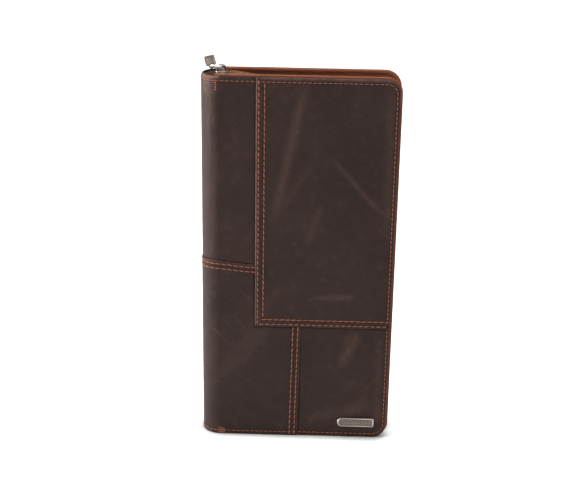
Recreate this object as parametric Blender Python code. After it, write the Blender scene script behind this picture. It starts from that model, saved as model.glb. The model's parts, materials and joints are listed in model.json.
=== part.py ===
"""Travel document organizer: a zip-around leather case on two stiff covers and a folding round spine.

The case stands on its bottom edge. +Z is up, the spine is at -X, the front cover faces -Y and the
back cover faces +Y. The origin is the middle of the footprint. All sizes are in metres.
"""
import math

import bmesh
import bpy
from mathutils import Matrix, Vector

mm = 0.001

# Overall size
case_width = 127.0 * mm          # spine to zip side
case_height = 254.0 * mm
case_depth = 24.0 * mm           # outer face to outer face, closed
corner_radius = 10.5 * mm        # the two free corners of each cover
clearance = 0.3 * mm             # between neighbouring pieces

# Layers of a cover, as depths below its outer face
main_level = 0.0 * mm            # big front panel, the highest leather
lower_side_level = 0.4 * mm      # lower panel that wraps the spine
base_level = 0.8 * mm            # upper panel that wraps the spine, and the lower front panel
lap_leather = 1.2 * mm           # underside of a lapping edge
flange_level = 1.5 * mm          # outer face of the skived edge under a lap
leather_level = 2.2 * mm         # underside of the leather
board_thickness = 1.4 * mm
lining_thickness = 0.8 * mm

# Seams of the outer leather
lap_width = 8.0 * mm             # how far one panel reaches under the next
side_panel_width = 35.2 * mm     # spine's outer edge to the big panel's folded edge
front_seam_z = 82.2 * mm         # folded lower edge of the big front panel
side_seam_z = 127.5 * mm         # folded upper edge of the lower side panel, round the spine
lower_side_width = 65.7 * mm     # spine's outer edge to the seam between the lower front panels
front_reveal = 1.6 * mm          # zip tape seen beyond the front leather
back_reveal = 0.4 * mm
foot_lift = 0.4 * mm             # zip tape above the surface that the leather stands on

# Spine, a round shell of three strips that fold flat
strip_count = 3
spine_gap = 0.3 * mm             # between two strips and between a strip and a cover
fold_level = 0.4 * mm            # depth of the fold lines below the outer face
spine_top_drop = 1.5 * mm        # spine rim below the top of the case
spine_lining_thickness = 0.6 * mm
arc_steps = 6

# Zip round the three free sides
tape_lip_width = 4.9 * mm        # tape sewn along the cover's edge
tape_thickness = 0.8 * mm
coil_depth = 3.0 * mm            # middle of the coil below the case's edge
coil_thickness = 2.2 * mm
coil_half_gap = 0.8 * mm         # from the middle of the case to each coil
coil_width = 2.3 * mm
tape_end_gap = 0.3 * mm          # from a coil to its tape
top_end_gap = 1.4 * mm           # from the zip's folded ends to the spine lining
bottom_end_gap = 2.9 * mm
end_overhang = 2.4 * mm          # past the middle of the case, towards the front
end_corner = 3.0 * mm

# Slider
slider_park = 13.0 * mm          # spine's outer edge to the parked slider's middle
slider_length = 7.6 * mm
slider_half_width = 4.2 * mm
slider_half_height = 2.6 * mm
channel_half_width = 3.5 * mm
channel_half_height = 1.5 * mm
slot_half_height = 0.75 * mm
post_length = 2.2 * mm
post_half_width = 0.5 * mm
crown_length = 5.6 * mm
crown_width = 2.2 * mm
crown_height = 3.6 * mm
crown_wall = 1.1 * mm

# Pull
wire_radius = 0.5 * mm
link_reach = 6.4 * mm            # crown bar to tab bar
link_inner_width = 3.4 * mm
link_rise = math.radians(8.0)
tab_tilt = math.radians(75.0)    # from the spine side's horizontal
tab_width = 5.7 * mm
tab_length = 6.6 * mm
tab_thickness = 1.4 * mm
eye_outer = 1.7 * mm
eye_inner = 0.85 * mm
tab_start = 1.0 * mm             # lower edge of the plate above the eye's middle

# Pockets
pocket_margin = 8.0 * mm         # from the case's free edges
pocket_leather = 0.8 * mm
pocket_rim = 4.0 * mm            # sewn edge of a pocket
slip_hollow = 0.8 * mm
slip_height = 196.0 * mm
card_count = 3
card_hollow = 0.5 * mm
card_leather = 0.6 * mm
card_step = 15.0 * mm            # each card pocket's mouth below the one behind
card_height = 54.0 * mm
card_top = 190.0 * mm
window_height = 74.0 * mm
window_border = 9.0 * mm
film_thickness = 0.3 * mm
ticket_hollow = 1.0 * mm
ticket_height = 205.0 * mm
passport_hollow = 1.0 * mm
passport_height = 108.0 * mm
pen_room = 1.7 * mm              # half the space between the linings, less the pen loop's radius
pen_loop_leather = 0.8 * mm
pen_loop_height = 34.0 * mm
pen_loop_z = 128.0 * mm
pen_x = 1.7 * mm                 # pen's axis from the spine's centre line

# Nameplate
plate_width = 24.8 * mm
plate_height = 6.4 * mm
plate_thickness = 1.0 * mm
plate_edge = 9.8 * mm            # from the case's free side
plate_z = 11.8 * mm              # middle of the plate above the foot
plate_corner = 0.7 * mm
plate_post_radius = 0.8 * mm
plate_post_spacing = 16.0 * mm
plate_hole_radius = 1.1 * mm
washer_radius = 2.0 * mm
washer_thickness = 0.6 * mm

# Worked out
half_width = case_width / 2
half_depth = case_depth / 2
spine_x = half_depth - half_width                    # centre line of the round spine
side_seam_x = side_panel_width - half_width
lower_seam_x = lower_side_width - half_width
slider_x = slider_park - half_width
cover_x = spine_x + spine_gap / 2                    # where both covers begin
fold_radius = half_depth - fold_level
board_level = leather_level + clearance
lining_level = board_level + board_thickness + clearance
inner_level = lining_level + lining_thickness        # inner face of a cover
spine_bore = half_depth - leather_level - clearance - spine_lining_thickness
pen_outer = half_depth - inner_level - pen_room
pen_inner = pen_outer - pen_loop_leather
coil_z = case_height - coil_depth
strip_angle = math.pi / strip_count

leather = (0.062, 0.040, 0.035)
rust = (0.30, 0.115, 0.068)
lining_brown = (0.10, 0.055, 0.035)
board_grey = (0.30, 0.26, 0.20)
nickel = (0.33, 0.30, 0.27)
film = (0.85, 0.87, 0.88)


def clear_scene():
    for obj in list(bpy.data.objects):
        bpy.data.objects.remove(obj, do_unlink=True)


def principled(name, colour, roughness, metallic=0.0):
    mat = bpy.data.materials.new(name)
    mat.use_nodes = True
    shader = mat.node_tree.nodes["Principled BSDF"]
    shader.inputs["Base Color"].default_value = (*colour, 1.0)
    shader.inputs["Roughness"].default_value = roughness
    shader.inputs["Metallic"].default_value = metallic
    return mat


def place(name, bm, finish, smooth=False):
    """Turn a closed bmesh into the named object."""
    bmesh.ops.recalc_face_normals(bm, faces=bm.faces)
    mesh = bpy.data.meshes.new(name)
    bm.to_mesh(mesh)
    bm.free()
    obj = bpy.data.objects.new(name, mesh)
    bpy.context.scene.collection.objects.link(obj)
    mesh.materials.append(principled(name + "_finish", *finish))
    if smooth:
        mesh.shade_smooth()
        mesh.set_sharp_from_angle(angle=math.radians(35))
    return obj


def outline_face(bm, points, y):
    """A flat face from (x, z) points at depth y."""
    return bm.faces.new([bm.verts.new((x, y, z)) for x, z in points])


def prism(points, y_low, y_high):
    """A closed solid between two depths with an (x, z) outline."""
    bm = bmesh.new()
    face = outline_face(bm, points, y_low)
    grown = bmesh.ops.extrude_face_region(bm, geom=[face], use_keep_orig=True)
    moved = [item for item in grown["geom"] if isinstance(item, bmesh.types.BMVert)]
    bmesh.ops.translate(bm, verts=moved, vec=(0, y_high - y_low, 0))
    bmesh.ops.recalc_face_normals(bm, faces=bm.faces)
    return bm


def combine(first, others, operation="UNION"):
    """Join closed bmeshes, or cut the others out of the first, into one closed bmesh."""
    base = place("combine_base", first, ((0.5, 0.5, 0.5), 0.5))
    tools = []
    for index, other in enumerate(others):
        tool = place(f"combine_tool_{index}", other, ((0.5, 0.5, 0.5), 0.5))
        tools.append(tool)
        step = base.modifiers.new(f"step_{index}", "BOOLEAN")
        step.operation = operation
        step.object = tool
        step.solver = "EXACT"
    bpy.context.view_layer.update()
    graph = bpy.context.evaluated_depsgraph_get()
    made = bmesh.new()
    made.from_object(base, graph)
    for obj in [base, *tools]:
        bpy.data.objects.remove(obj, do_unlink=True)
    bmesh.ops.dissolve_limit(made, angle_limit=math.radians(0.5), verts=made.verts, edges=made.edges)
    bmesh.ops.remove_doubles(made, verts=made.verts, dist=0.00001)
    return made


def arc(centre_x, centre_z, radius, start, end, steps=8):
    """Points on a round corner, angles in degrees from +X towards +Z."""
    turns = [math.radians(start + (end - start) * i / steps) for i in range(steps + 1)]
    return [(centre_x + radius * math.cos(a), centre_z + radius * math.sin(a)) for a in turns]


def cover_outline(inset, foot, left):
    """The cover's shape, inset from the case's edge, with two round free corners."""
    radius = max(corner_radius - inset, 2 * mm)
    right = half_width - inset
    top = case_height - inset
    lower = arc(right - radius, foot + radius, radius, -90, 0)
    upper = arc(right - radius, top - radius, radius, 0, 90)
    return [(left, foot), *lower, *upper, (left, top)]


def edge_band(outer, inner, left, foot=foot_lift):
    """A U-shaped band that follows the three free sides between two insets."""
    outside = cover_outline(outer, foot + outer, left)
    inside = cover_outline(inner, foot + inner, left)
    return outside + inside[::-1]


def rectangle(x_low, x_high, z_low, z_high):
    return [(x_low, z_low), (x_high, z_low), (x_high, z_high), (x_low, z_high)]


def slab(side, points, level, depth):
    """A prism in a cover: side is -1 for the front and 1 for the back, levels run inwards."""
    a = side * (half_depth - level)
    b = side * (half_depth - depth)
    return prism(points, min(a, b), max(a, b))


def box(x_low, x_high, y_low, y_high, z_low, z_high):
    return prism(rectangle(x_low, x_high, z_low, z_high), y_low, y_high)


def cylinder(centre, axis, radius, length, sides=20):
    bm = bmesh.new()
    turn = Vector((0, 0, 1)).rotation_difference(Vector(axis)).to_matrix().to_4x4()
    bmesh.ops.create_cone(bm, cap_ends=True, segments=sides, radius1=radius, radius2=radius,
                          depth=length, matrix=Matrix.Translation(centre) @ turn)
    return bm


def under_edge(x):
    """The skived edge that lies under the panel starting at x."""
    return x + lap_width - clearance


def main_panel(name, side, seam_z, reveal):
    """The big panel. Its folded edges lap over the side panels, and on the front over the lower ones."""
    outline = cover_outline(reveal, 0, side_seam_x)
    if seam_z > 0:
        top = [p for p in outline if p[1] > case_height / 2]
        right = half_width - reveal
        skin = [(side_seam_x, seam_z), (right, seam_z), *top]
        body = [(side_seam_x + lap_width, seam_z + lap_width), (right, seam_z + lap_width), *top[:-1],
                (side_seam_x + lap_width, top[-1][1])]
    else:
        skin = outline
        body = [(max(x, side_seam_x + lap_width), z) for x, z in outline]
    whole = combine(slab(side, skin, main_level, lap_leather),
                    [slab(side, body, main_level + clearance, leather_level)])
    return place(name, whole, (leather, 0.55))


def upper_side_panel(name, side, reveal):
    """Upper panel beside the spine. The big panel and the lower side panel lap over it."""
    top = case_height - reveal
    face = rectangle(cover_x, side_seam_x - clearance, side_seam_z + clearance, top)
    tongue = rectangle(cover_x, under_edge(side_seam_x), side_seam_z - lap_width + clearance, top)
    whole = combine(slab(side, face, base_level, leather_level),
                    [slab(side, tongue, flange_level, leather_level)])
    return place(name, whole, (leather, 0.55))


def lower_side_panel(name, side, wide):
    """Lower panel beside the spine. On the front it also reaches across to the lower panel."""
    left = cover_x
    edge = side_seam_x - clearance
    lap_foot = side_seam_z - lap_width
    if wide:
        ledge = front_seam_z - clearance
        far = lower_seam_x - lap_width
        face = [(left, 0), (lower_seam_x, 0), (lower_seam_x, ledge), (edge, ledge),
                (edge, side_seam_z), (left, side_seam_z)]
        body = [(left, 0), (far, 0), (far, ledge), (edge, ledge), (edge, lap_foot), (left, lap_foot)]
        tongue = [(left, 0), (far, 0), (far, under_edge(front_seam_z)),
                  (under_edge(side_seam_x), under_edge(front_seam_z)),
                  (under_edge(side_seam_x), lap_foot), (left, lap_foot)]
    else:
        face = rectangle(left, edge, 0, side_seam_z)
        body = rectangle(left, edge, 0, lap_foot)
        tongue = rectangle(left, under_edge(side_seam_x), 0, lap_foot)
    whole = combine(slab(side, face, lower_side_level, lap_leather),
                    [slab(side, body, lower_side_level + clearance, leather_level),
                     slab(side, tongue, flange_level, leather_level)])
    return place(name, whole, (leather, 0.55))


def plate_posts():
    """The x of the two nameplate posts."""
    middle = half_width - plate_edge - plate_width / 2
    return [middle - plate_post_spacing / 2, middle + plate_post_spacing / 2]


def front_lower_panel():
    """Lower front panel, with two holes for the nameplate's posts."""
    right = half_width - front_reveal
    corner = [p for p in cover_outline(front_reveal, 0, 0) if p[1] < case_height / 2][1:]
    face = [(lower_seam_x + clearance, 0), *corner, (right, front_seam_z - clearance),
            (lower_seam_x + clearance, front_seam_z - clearance)]
    reach = lower_seam_x - lap_width + clearance
    tongue = [(reach, 0), *corner, (right, under_edge(front_seam_z)), (reach, under_edge(front_seam_z))]
    whole = combine(slab(-1, face, base_level, leather_level),
                    [slab(-1, tongue, flange_level, leather_level)])
    holes = [cylinder((x, -half_depth, plate_z), (0, 1, 0), plate_hole_radius, 12 * mm)
             for x in plate_posts()]
    whole = combine(whole, holes, "DIFFERENCE")
    return place("front_lower_panel", whole, (leather, 0.55))


def board(name, side):
    """Stiffener board. The front one has a sunk hole for each nameplate post and washer."""
    inset = tape_lip_width + clearance
    whole = slab(side, cover_outline(inset, foot_lift + inset, cover_x), board_level,
                 board_level + board_thickness)
    if side < 0:
        cuts = []
        for x in plate_posts():
            cuts.append(cylinder((x, -half_depth, plate_z), (0, 1, 0), plate_hole_radius, 12 * mm))
            sunk = half_depth - board_level - board_thickness + washer_thickness + 2 * clearance
            cuts.append(cylinder((x, -sunk + 2 * mm, plate_z), (0, 1, 0),
                                 washer_radius + clearance, 4 * mm))
        whole = combine(whole, cuts, "DIFFERENCE")
    return place(name, whole, (board_grey, 0.9))


def cover_lining(name, side):
    inset = tape_lip_width + clearance
    points = cover_outline(inset, foot_lift + inset, cover_x)
    return place(name, slab(side, points, lining_level, inner_level), (lining_brown, 0.8))


def zip_tape(name, side):
    """Tape: a rounded lip along the cover's edge, and a web that runs in to the coil."""
    lip = slab(side, edge_band(0, tape_lip_width, cover_x), board_level, inner_level)
    near = coil_half_gap + coil_width + tape_end_gap
    web = slab(side, edge_band(coil_depth - tape_thickness / 2, coil_depth + tape_thickness / 2, cover_x),
               inner_level - clearance, half_depth - near)
    return place(name, combine(lip, [web]), (rust, 0.75))


def zip_coil(name, side, top_start):
    """Coil half. Its top run begins at top_start and its bottom run at the spine."""
    band = edge_band(coil_depth - coil_thickness / 2, coil_depth + coil_thickness / 2, cover_x)
    trimmed = [(max(x, top_start), z) if z > case_height / 2 else (x, z) for x, z in band]
    far = coil_half_gap + coil_width
    whole = slab(side, trimmed, half_depth - far, half_depth - coil_half_gap)
    return place(name, whole, (rust, 0.6))


def zip_end(name, z, gap):
    """Folded end of the zip, held by the back tape and tucked into the spine."""
    back = half_depth - inner_level - clearance
    left = spine_x - spine_bore + gap
    stem = slider_x - slider_length / 2 - clearance
    points = [(left, -end_overhang), (stem, -end_overhang), (stem, slider_half_width + clearance),
              (cover_x, slider_half_width + clearance), (cover_x, back), (left + end_corner, back),
              (left, back - end_corner)]
    bm = bmesh.new()
    face = bm.faces.new([bm.verts.new((x, y, z - tape_thickness / 2)) for x, y in points])
    grown = bmesh.ops.extrude_face_region(bm, geom=[face], use_keep_orig=True)
    moved = [item for item in grown["geom"] if isinstance(item, bmesh.types.BMVert)]
    bmesh.ops.translate(bm, verts=moved, vec=(0, 0, tape_thickness))
    return place(name, bm, (rust, 0.75))


def strip_solid(profile, index):
    """Turn an (r, z) profile through one strip's share of the round spine."""
    margin = spine_gap / 2 / fold_radius
    start = math.pi / 2 + strip_angle * index + margin
    turn = strip_angle - 2 * margin
    bm = bmesh.new()
    verts = [bm.verts.new((r * math.cos(start), r * math.sin(start), z)) for r, z in profile]
    face = bm.faces.new(verts)
    bmesh.ops.spin(bm, geom=[face], cent=(0, 0, 0), axis=(0, 0, 1), dvec=(0, 0, 0), angle=turn,
                   steps=arc_steps, use_duplicate=False)
    bmesh.ops.recalc_face_normals(bm, faces=bm.faces)
    bmesh.ops.translate(bm, verts=bm.verts, vec=(spine_x, 0, 0))
    return bm


def spine_strip(place_name, index):
    """One folding strip: upper leather, lower leather lapping over it, and lining."""
    outer = half_depth - leather_level
    top = case_height - spine_top_drop
    lap_foot = side_seam_z - lap_width
    high = half_depth - base_level
    tongue = half_depth - flange_level
    upper = [(outer, lap_foot + clearance), (tongue, lap_foot + clearance),
             (tongue, side_seam_z + clearance), (high, side_seam_z + clearance), (high, top),
             (outer, top)]
    place(f"spine_upper_{place_name}", strip_solid(upper, index), (leather, 0.55), smooth=True)
    raised = half_depth - lower_side_level
    lapped = half_depth - lap_leather
    lower = [(outer, 0), (raised, 0), (raised, side_seam_z), (lapped, side_seam_z),
             (lapped, lap_foot), (outer, lap_foot)]
    place(f"spine_lower_{place_name}", strip_solid(lower, index), (leather, 0.55), smooth=True)
    face = outer - clearance
    inner = face - spine_lining_thickness
    lining = [(inner, foot_lift), (face, foot_lift), (face, top - 1 * mm), (inner, top - 1 * mm)]
    place(f"spine_lining_{place_name}", strip_solid(lining, index), (lining_brown, 0.8), smooth=True)


def pocket(name, side, x_low, x_high, z_low, z_high, base, hollow, thickness, colour=leather):
    """A pocket sewn on three sides. base is the inner face that it lies on, as a depth from the middle."""
    seat = base - clearance
    face = base - hollow - thickness

    def layer(points, a, b):
        return prism(points, min(side * a, side * b), max(side * a, side * b))

    rim = min(pocket_rim, (x_high - x_low) / 6)
    u_shape = [(x_low, z_low), (x_high, z_low), (x_high, z_high), (x_high - rim, z_high),
               (x_high - rim, z_low + rim), (x_low + rim, z_low + rim), (x_low + rim, z_high),
               (x_low, z_high)]
    panel = layer(rectangle(x_low, x_high, z_low, z_high), face, face + thickness)
    edge = layer(u_shape, face + thickness / 2, seat)
    place(name, combine(panel, [edge]), (colour, 0.6))
    return face


def front_pockets():
    """Slip pocket, stepped card pockets and a clear window on the front cover's inside."""
    left = spine_x + 7 * mm
    right = half_width - pocket_margin
    inner = half_depth - inner_level
    top = min(slip_height, case_height - 2 * pocket_margin)
    slip = pocket("slip_pocket", -1, left, right, pocket_margin, top, inner, slip_hollow, pocket_leather)
    base = slip
    side_gap = 3 * mm
    for index in range(card_count):
        mouth = min(card_top, top - 2 * mm) - index * card_step
        base = pocket(f"card_pocket_{index + 1}", -1, left + side_gap, right - side_gap,
                      mouth - card_height, mouth, base, card_hollow, card_leather)
    lowest_card = min(card_top, top - 2 * mm) - (card_count - 1) * card_step - card_height
    high = min(pocket_margin + 4 * mm + window_height, lowest_card - 2 * mm)
    low = high - window_height
    seat = slip - clearance
    frame = [(left + side_gap, low), (right - side_gap, low), (right - side_gap, high),
             (left + side_gap, high)]
    opening = box(left + side_gap + window_border, right - side_gap - window_border,
                  -slip, 0, low + window_border, high - window_border)
    ring = prism(frame, -seat, -(seat - pocket_leather))
    place("window_frame", combine(ring, [opening], "DIFFERENCE"), (leather, 0.6))
    pane = left + side_gap + window_border + clearance
    pane_right = right - side_gap - window_border - clearance
    front = seat - pocket_leather / 2
    place("window_film", box(pane, pane_right, -front, -front + film_thickness,
                             low + window_border + clearance, high - window_border - clearance),
          (film, 0.1))


def back_pockets():
    """Ticket pocket, passport pocket and pen loop on the back cover's inside."""
    left = spine_x + 8 * mm
    right = half_width - pocket_margin
    inner = half_depth - inner_level
    top = min(ticket_height, case_height - 2 * pocket_margin)
    ticket = pocket("ticket_pocket", 1, left, right, pocket_margin, top, inner, ticket_hollow,
                    pocket_leather)
    pocket("passport_pocket", 1, left + 2 * mm, right - 2 * mm, pocket_margin + 2 * mm,
           passport_height, ticket, passport_hollow, pocket_leather)
    x = spine_x + pen_x
    y = inner - clearance - pen_outer
    z = pen_loop_z + pen_loop_height / 2
    tube = cylinder((x, y, z), (0, 0, 1), pen_outer, pen_loop_height, 24)
    foot = box(cover_x + 0.2 * mm, left - clearance - 0.2 * mm, inner - clearance - pocket_leather,
               inner - clearance, pen_loop_z, pen_loop_z + pen_loop_height)
    hole = cylinder((x, y, z), (0, 0, 1), pen_inner, pen_loop_height + 4 * mm, 24)
    loop = combine(combine(tube, [foot]), [hole], "DIFFERENCE")
    place("pen_loop", loop, (leather, 0.6))


def nameplate():
    """Plate with one round and one square end, two posts through the leather and board, and washers."""
    right = half_width - plate_edge
    left = right - plate_width
    radius = plate_height / 2
    low = plate_z - radius
    high = plate_z + radius
    outline = [*arc(right - plate_corner, low + plate_corner, plate_corner, -90, 0, 3),
               *arc(right - plate_corner, high - plate_corner, plate_corner, 0, 90, 3),
               *arc(left + radius, plate_z, radius, 90, 270, 14)]
    underside = -half_depth + base_level - clearance
    plate = prism(outline, underside - plate_thickness, underside)
    tail = half_depth - board_level - board_thickness + clearance
    length = -tail - underside + 0.5 * mm
    posts = [cylinder((x, underside - 0.5 * mm + length / 2, plate_z), (0, 1, 0), plate_post_radius,
                      length, 16) for x in plate_posts()]
    place("nameplate", combine(plate, posts), (nickel, 0.35, 1.0), smooth=True)
    seat = half_depth - board_level - board_thickness + clearance
    for name, x in zip(("left", "right"), plate_posts()):
        disc = cylinder((x, -seat - washer_thickness / 2, plate_z), (0, 1, 0), washer_radius,
                        washer_thickness, 18)
        bore = cylinder((x, -seat, plate_z), (0, 1, 0), plate_post_radius + 0.15 * mm, 4 * mm, 18)
        place(f"nameplate_washer_{name}", combine(disc, [bore], "DIFFERENCE"), (nickel, 0.4, 1.0))


def channel_half(up):
    """One slider plate with its two side rails."""
    high = coil_z + up * slider_half_height
    inner = coil_z + up * channel_half_height
    lip = coil_z + up * slot_half_height
    end = slider_x + slider_length / 2
    start = slider_x - slider_length / 2
    plate = box(start, end, -slider_half_width, slider_half_width, min(high, inner), max(high, inner))
    rails = [box(start, end, min(s * channel_half_width, s * slider_half_width),
                 max(s * channel_half_width, s * slider_half_width),
                 min(high, lip), max(high, lip)) for s in (-1, 1)]
    return combine(plate, rails)


def slider():
    """Slider body: two plates, the post between them at the closed end's mouth, and the crown."""
    start = slider_x - slider_length / 2
    top = coil_z + slider_half_height
    post = box(start + 0.2 * mm, start + 0.2 * mm + post_length, -post_half_width, post_half_width,
               coil_z - channel_half_height - 0.5 * mm, coil_z + channel_half_height + 0.5 * mm)
    crown_low = top - 0.5 * mm
    crown = box(slider_x - crown_length / 2, slider_x + crown_length / 2, -crown_width / 2,
                crown_width / 2, crown_low, top + crown_height)
    hole = box(slider_x - crown_length / 2 + crown_wall, slider_x + crown_length / 2 - crown_wall,
               -crown_width, crown_width, top + 0.4 * mm, top + crown_height - crown_wall)
    crown = combine(crown, [hole], "DIFFERENCE")
    body = combine(channel_half(1), [channel_half(-1), post, crown])
    obj = place("zip_slider", body, (nickel, 0.35, 1.0))
    bevel = obj.modifiers.new("soft_edges", "BEVEL")
    bevel.width = 0.12 * mm
    bevel.segments = 1
    bevel.limit_method = "ANGLE"
    bevel.angle_limit = math.radians(50)
    return obj


def link_pivot():
    """Middle of the link's bar inside the crown."""
    return Vector((slider_x, 0, coil_z + slider_half_height + 1.7 * mm))


def tab_pivot():
    direction = Vector((-math.cos(link_rise), 0, math.sin(link_rise)))
    return link_pivot() + direction * link_reach


def pull_link():
    """Wire link, a rounded rectangle through the crown and the tab's eye."""
    half = link_inner_width / 2 + wire_radius
    bend = 1.2 * mm
    points = []
    for corner_x, corner_y, start in ((0, half, 0), (-link_reach, half, 90),
                                      (-link_reach, -half, 180), (0, -half, 270)):
        cx = corner_x - bend if corner_x == 0 else corner_x + bend
        cy = corner_y - bend if corner_y > 0 else corner_y + bend
        points += arc(cx, cy, bend, start, start + 90, 5)
    curve = bpy.data.curves.new("pull_link", "CURVE")
    curve.dimensions = "3D"
    curve.bevel_depth = wire_radius
    curve.bevel_resolution = 2
    spline = curve.splines.new("POLY")
    spline.points.add(len(points) - 1)
    pivot = link_pivot()
    for point, (x, y) in zip(spline.points, points):
        point.co = (x * math.cos(link_rise), y, -x * math.sin(link_rise), 1)
    spline.use_cyclic_u = True
    obj = bpy.data.objects.new("pull_link", curve)
    bpy.context.scene.collection.objects.link(obj)
    obj.location = pivot
    curve.materials.append(principled("pull_link_finish", nickel, 0.3, 1.0))
    return obj


def pull_tab():
    """Flat tab with an eye at its lower end, standing on the link."""
    low = tab_start
    high = tab_start + tab_length
    half = tab_width / 2
    soft = 0.7 * mm
    plate = [*arc(half - soft, low + soft, soft, -90, 0, 3), *arc(half - soft, high - soft, soft, 0, 90, 3),
             *arc(-half + soft, high - soft, soft, 90, 180, 3),
             *arc(-half + soft, low + soft, soft, 180, 270, 3)]
    body = prism(plate, -tab_thickness / 2, tab_thickness / 2)
    eye = cylinder((0, 0, 0), (0, 1, 0), eye_outer, tab_thickness, 20)
    hole = cylinder((0, 0, 0), (0, 1, 0), eye_inner, tab_thickness * 3, 16)
    whole = combine(combine(body, [eye]), [hole], "DIFFERENCE")
    turn = Matrix.Rotation(tab_tilt - math.pi / 2, 4, "Y")
    obj = place("pull_tab", whole, (nickel, 0.4, 1.0))
    obj.matrix_world = Matrix.Translation(tab_pivot()) @ turn
    return obj


def build():
    clear_scene()
    main_panel("front_main_panel", -1, front_seam_z, front_reveal)
    upper_side_panel("front_upper_side_panel", -1, front_reveal)
    lower_side_panel("front_lower_side_panel", -1, True)
    front_lower_panel()
    main_panel("back_main_panel", 1, 0, back_reveal)
    upper_side_panel("back_upper_side_panel", 1, back_reveal)
    lower_side_panel("back_lower_side_panel", 1, False)
    for name, side in (("front", -1), ("back", 1)):
        board(f"{name}_board", side)
        cover_lining(f"{name}_lining", side)
        zip_tape(f"{name}_zip_tape", side)
    zip_coil("front_zip_coil", -1, slider_x + slider_length / 2 + clearance)
    zip_coil("back_zip_coil", 1, cover_x)
    zip_end("zip_end_top", coil_z, top_end_gap)
    zip_end("zip_end_bottom", foot_lift + coil_depth, bottom_end_gap)
    for index, name in enumerate(("rear", "middle", "front")):
        spine_strip(name, index)
    front_pockets()
    back_pockets()
    nameplate()
    slider()
    pull_link()
    pull_tab()


build()
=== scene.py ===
import json
import math
import random

import bmesh
import bpy
from mathutils import Matrix, Vector, noise


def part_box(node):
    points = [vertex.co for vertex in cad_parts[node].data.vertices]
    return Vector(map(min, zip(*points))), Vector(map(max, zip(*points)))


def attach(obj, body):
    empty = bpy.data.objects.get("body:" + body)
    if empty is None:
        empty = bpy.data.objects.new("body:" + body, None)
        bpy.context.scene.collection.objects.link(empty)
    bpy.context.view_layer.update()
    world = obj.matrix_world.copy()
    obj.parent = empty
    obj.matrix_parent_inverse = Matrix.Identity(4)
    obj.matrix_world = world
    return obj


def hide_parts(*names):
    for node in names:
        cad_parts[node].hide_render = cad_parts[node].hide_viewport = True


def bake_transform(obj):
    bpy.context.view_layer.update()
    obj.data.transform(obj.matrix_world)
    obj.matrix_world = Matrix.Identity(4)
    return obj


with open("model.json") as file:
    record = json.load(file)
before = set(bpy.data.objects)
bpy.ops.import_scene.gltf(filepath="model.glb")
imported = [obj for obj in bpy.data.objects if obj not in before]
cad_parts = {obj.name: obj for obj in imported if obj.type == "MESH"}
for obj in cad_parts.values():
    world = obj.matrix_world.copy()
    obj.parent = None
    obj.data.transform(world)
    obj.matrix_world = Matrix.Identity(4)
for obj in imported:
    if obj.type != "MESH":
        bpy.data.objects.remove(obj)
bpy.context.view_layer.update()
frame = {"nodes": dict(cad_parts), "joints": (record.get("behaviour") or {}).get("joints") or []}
mm = 0.001
random.seed(7)


def nodeBox(name):
    low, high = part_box(name)
    return low / mm, high / mm


jointAt = {j["name"]: Vector(j["pos_m"]) / mm for j in frame["joints"] if j["type"] == "hinge"}
mainLow, mainHigh = nodeBox("front_main_panel")
backHigh = nodeBox("back_main_panel")[1]
sideHigh = nodeBox("front_lower_side_panel")[1]
tapeLow, tapeHigh = nodeBox("front_zip_tape")

# everything below is in millimetres until the mesh is made; edges are found from the frame
halfDepth = -mainLow.y
halfWidth = tapeHigh.x
caseTop = tapeHigh.z
footGap = tapeLow.z
spineX = jointAt["front_crease"].x
spineRadius = halfDepth
spineGirth = math.pi * spineRadius
spineBulge = 0.85         # soft leather stands out a little at the fold
seamX = mainLow.x
frontSeamZ = mainLow.z
sideSeamZ = sideHigh.z
lowerSeamX = sideHigh.x
leatherTop = mainHigh.z
caseCorner = 10.5
sideLevel = 0.4           # leather levels below the big panel's face
baseLevel = 0.8
flangeLevel = 1.5
lapUnder = 1.2
leatherUnder = 2.25
lapWidth = 8.0
print("sizes read from the frame")


# places on the case
def placeFront(x, z, level):
    return Vector((x, level - halfDepth, z))


def placeBack(x, z, level):
    return Vector((x, halfDepth - level, z))


def placeWrap(g, z, level):
    # g runs along the girth: 0 at the front crease, then round the spine to the back
    if g < 0:
        return placeFront(spineX - g, z, level)
    if g > spineGirth:
        return placeBack(spineX + g - spineGirth, z, level)
    turn = math.radians(270) - g / spineRadius
    radius = spineRadius - level + spineBulge * math.sin(g / spineRadius) ** 2
    return Vector((spineX + radius * math.cos(turn), radius * math.sin(turn), z))


def smooth(low, high, x):
    t = min(1.0, max(0.0, (x - low) / (high - low)))
    return t * t * (3 - 2 * t)


# materials
def feed(tree, socket, value):
    if isinstance(value, bpy.types.NodeSocket):
        tree.links.new(value, socket)
    else:
        socket.default_value = value


def addNode(tree, kind, inputs=None, **settings):
    made = tree.nodes.new(kind)
    for key, value in settings.items():
        setattr(made, key, value)
    for key, value in (inputs or {}).items():
        feed(tree, made.inputs[key], value)
    return made


def blendColour(tree, factor, low, high, mode="MIX"):
    mix = addNode(tree, "ShaderNodeMix", data_type="RGBA", blend_type=mode)
    for index, value in ((0, factor), (6, low), (7, high)):
        feed(tree, mix.inputs[index], value)
    return mix.outputs[2]


def calc(tree, operation, *values):
    made = addNode(tree, "ShaderNodeMath", operation=operation)
    for socket, value in zip(made.inputs, values):
        feed(tree, socket, value)
    return made.outputs[0]


def times(tree, a, b):
    return calc(tree, "MULTIPLY", a, b)


def plus(tree, a, b):
    return calc(tree, "ADD", a, b)


def span(tree, value, fromLow, fromHigh, toLow=0.0, toHigh=1.0):
    made = addNode(tree, "ShaderNodeMapRange", {"Value": value, "From Min": fromLow, "From Max": fromHigh,
                                                "To Min": toLow, "To Max": toHigh}, clamp=True)
    return made.outputs[0]


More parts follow.
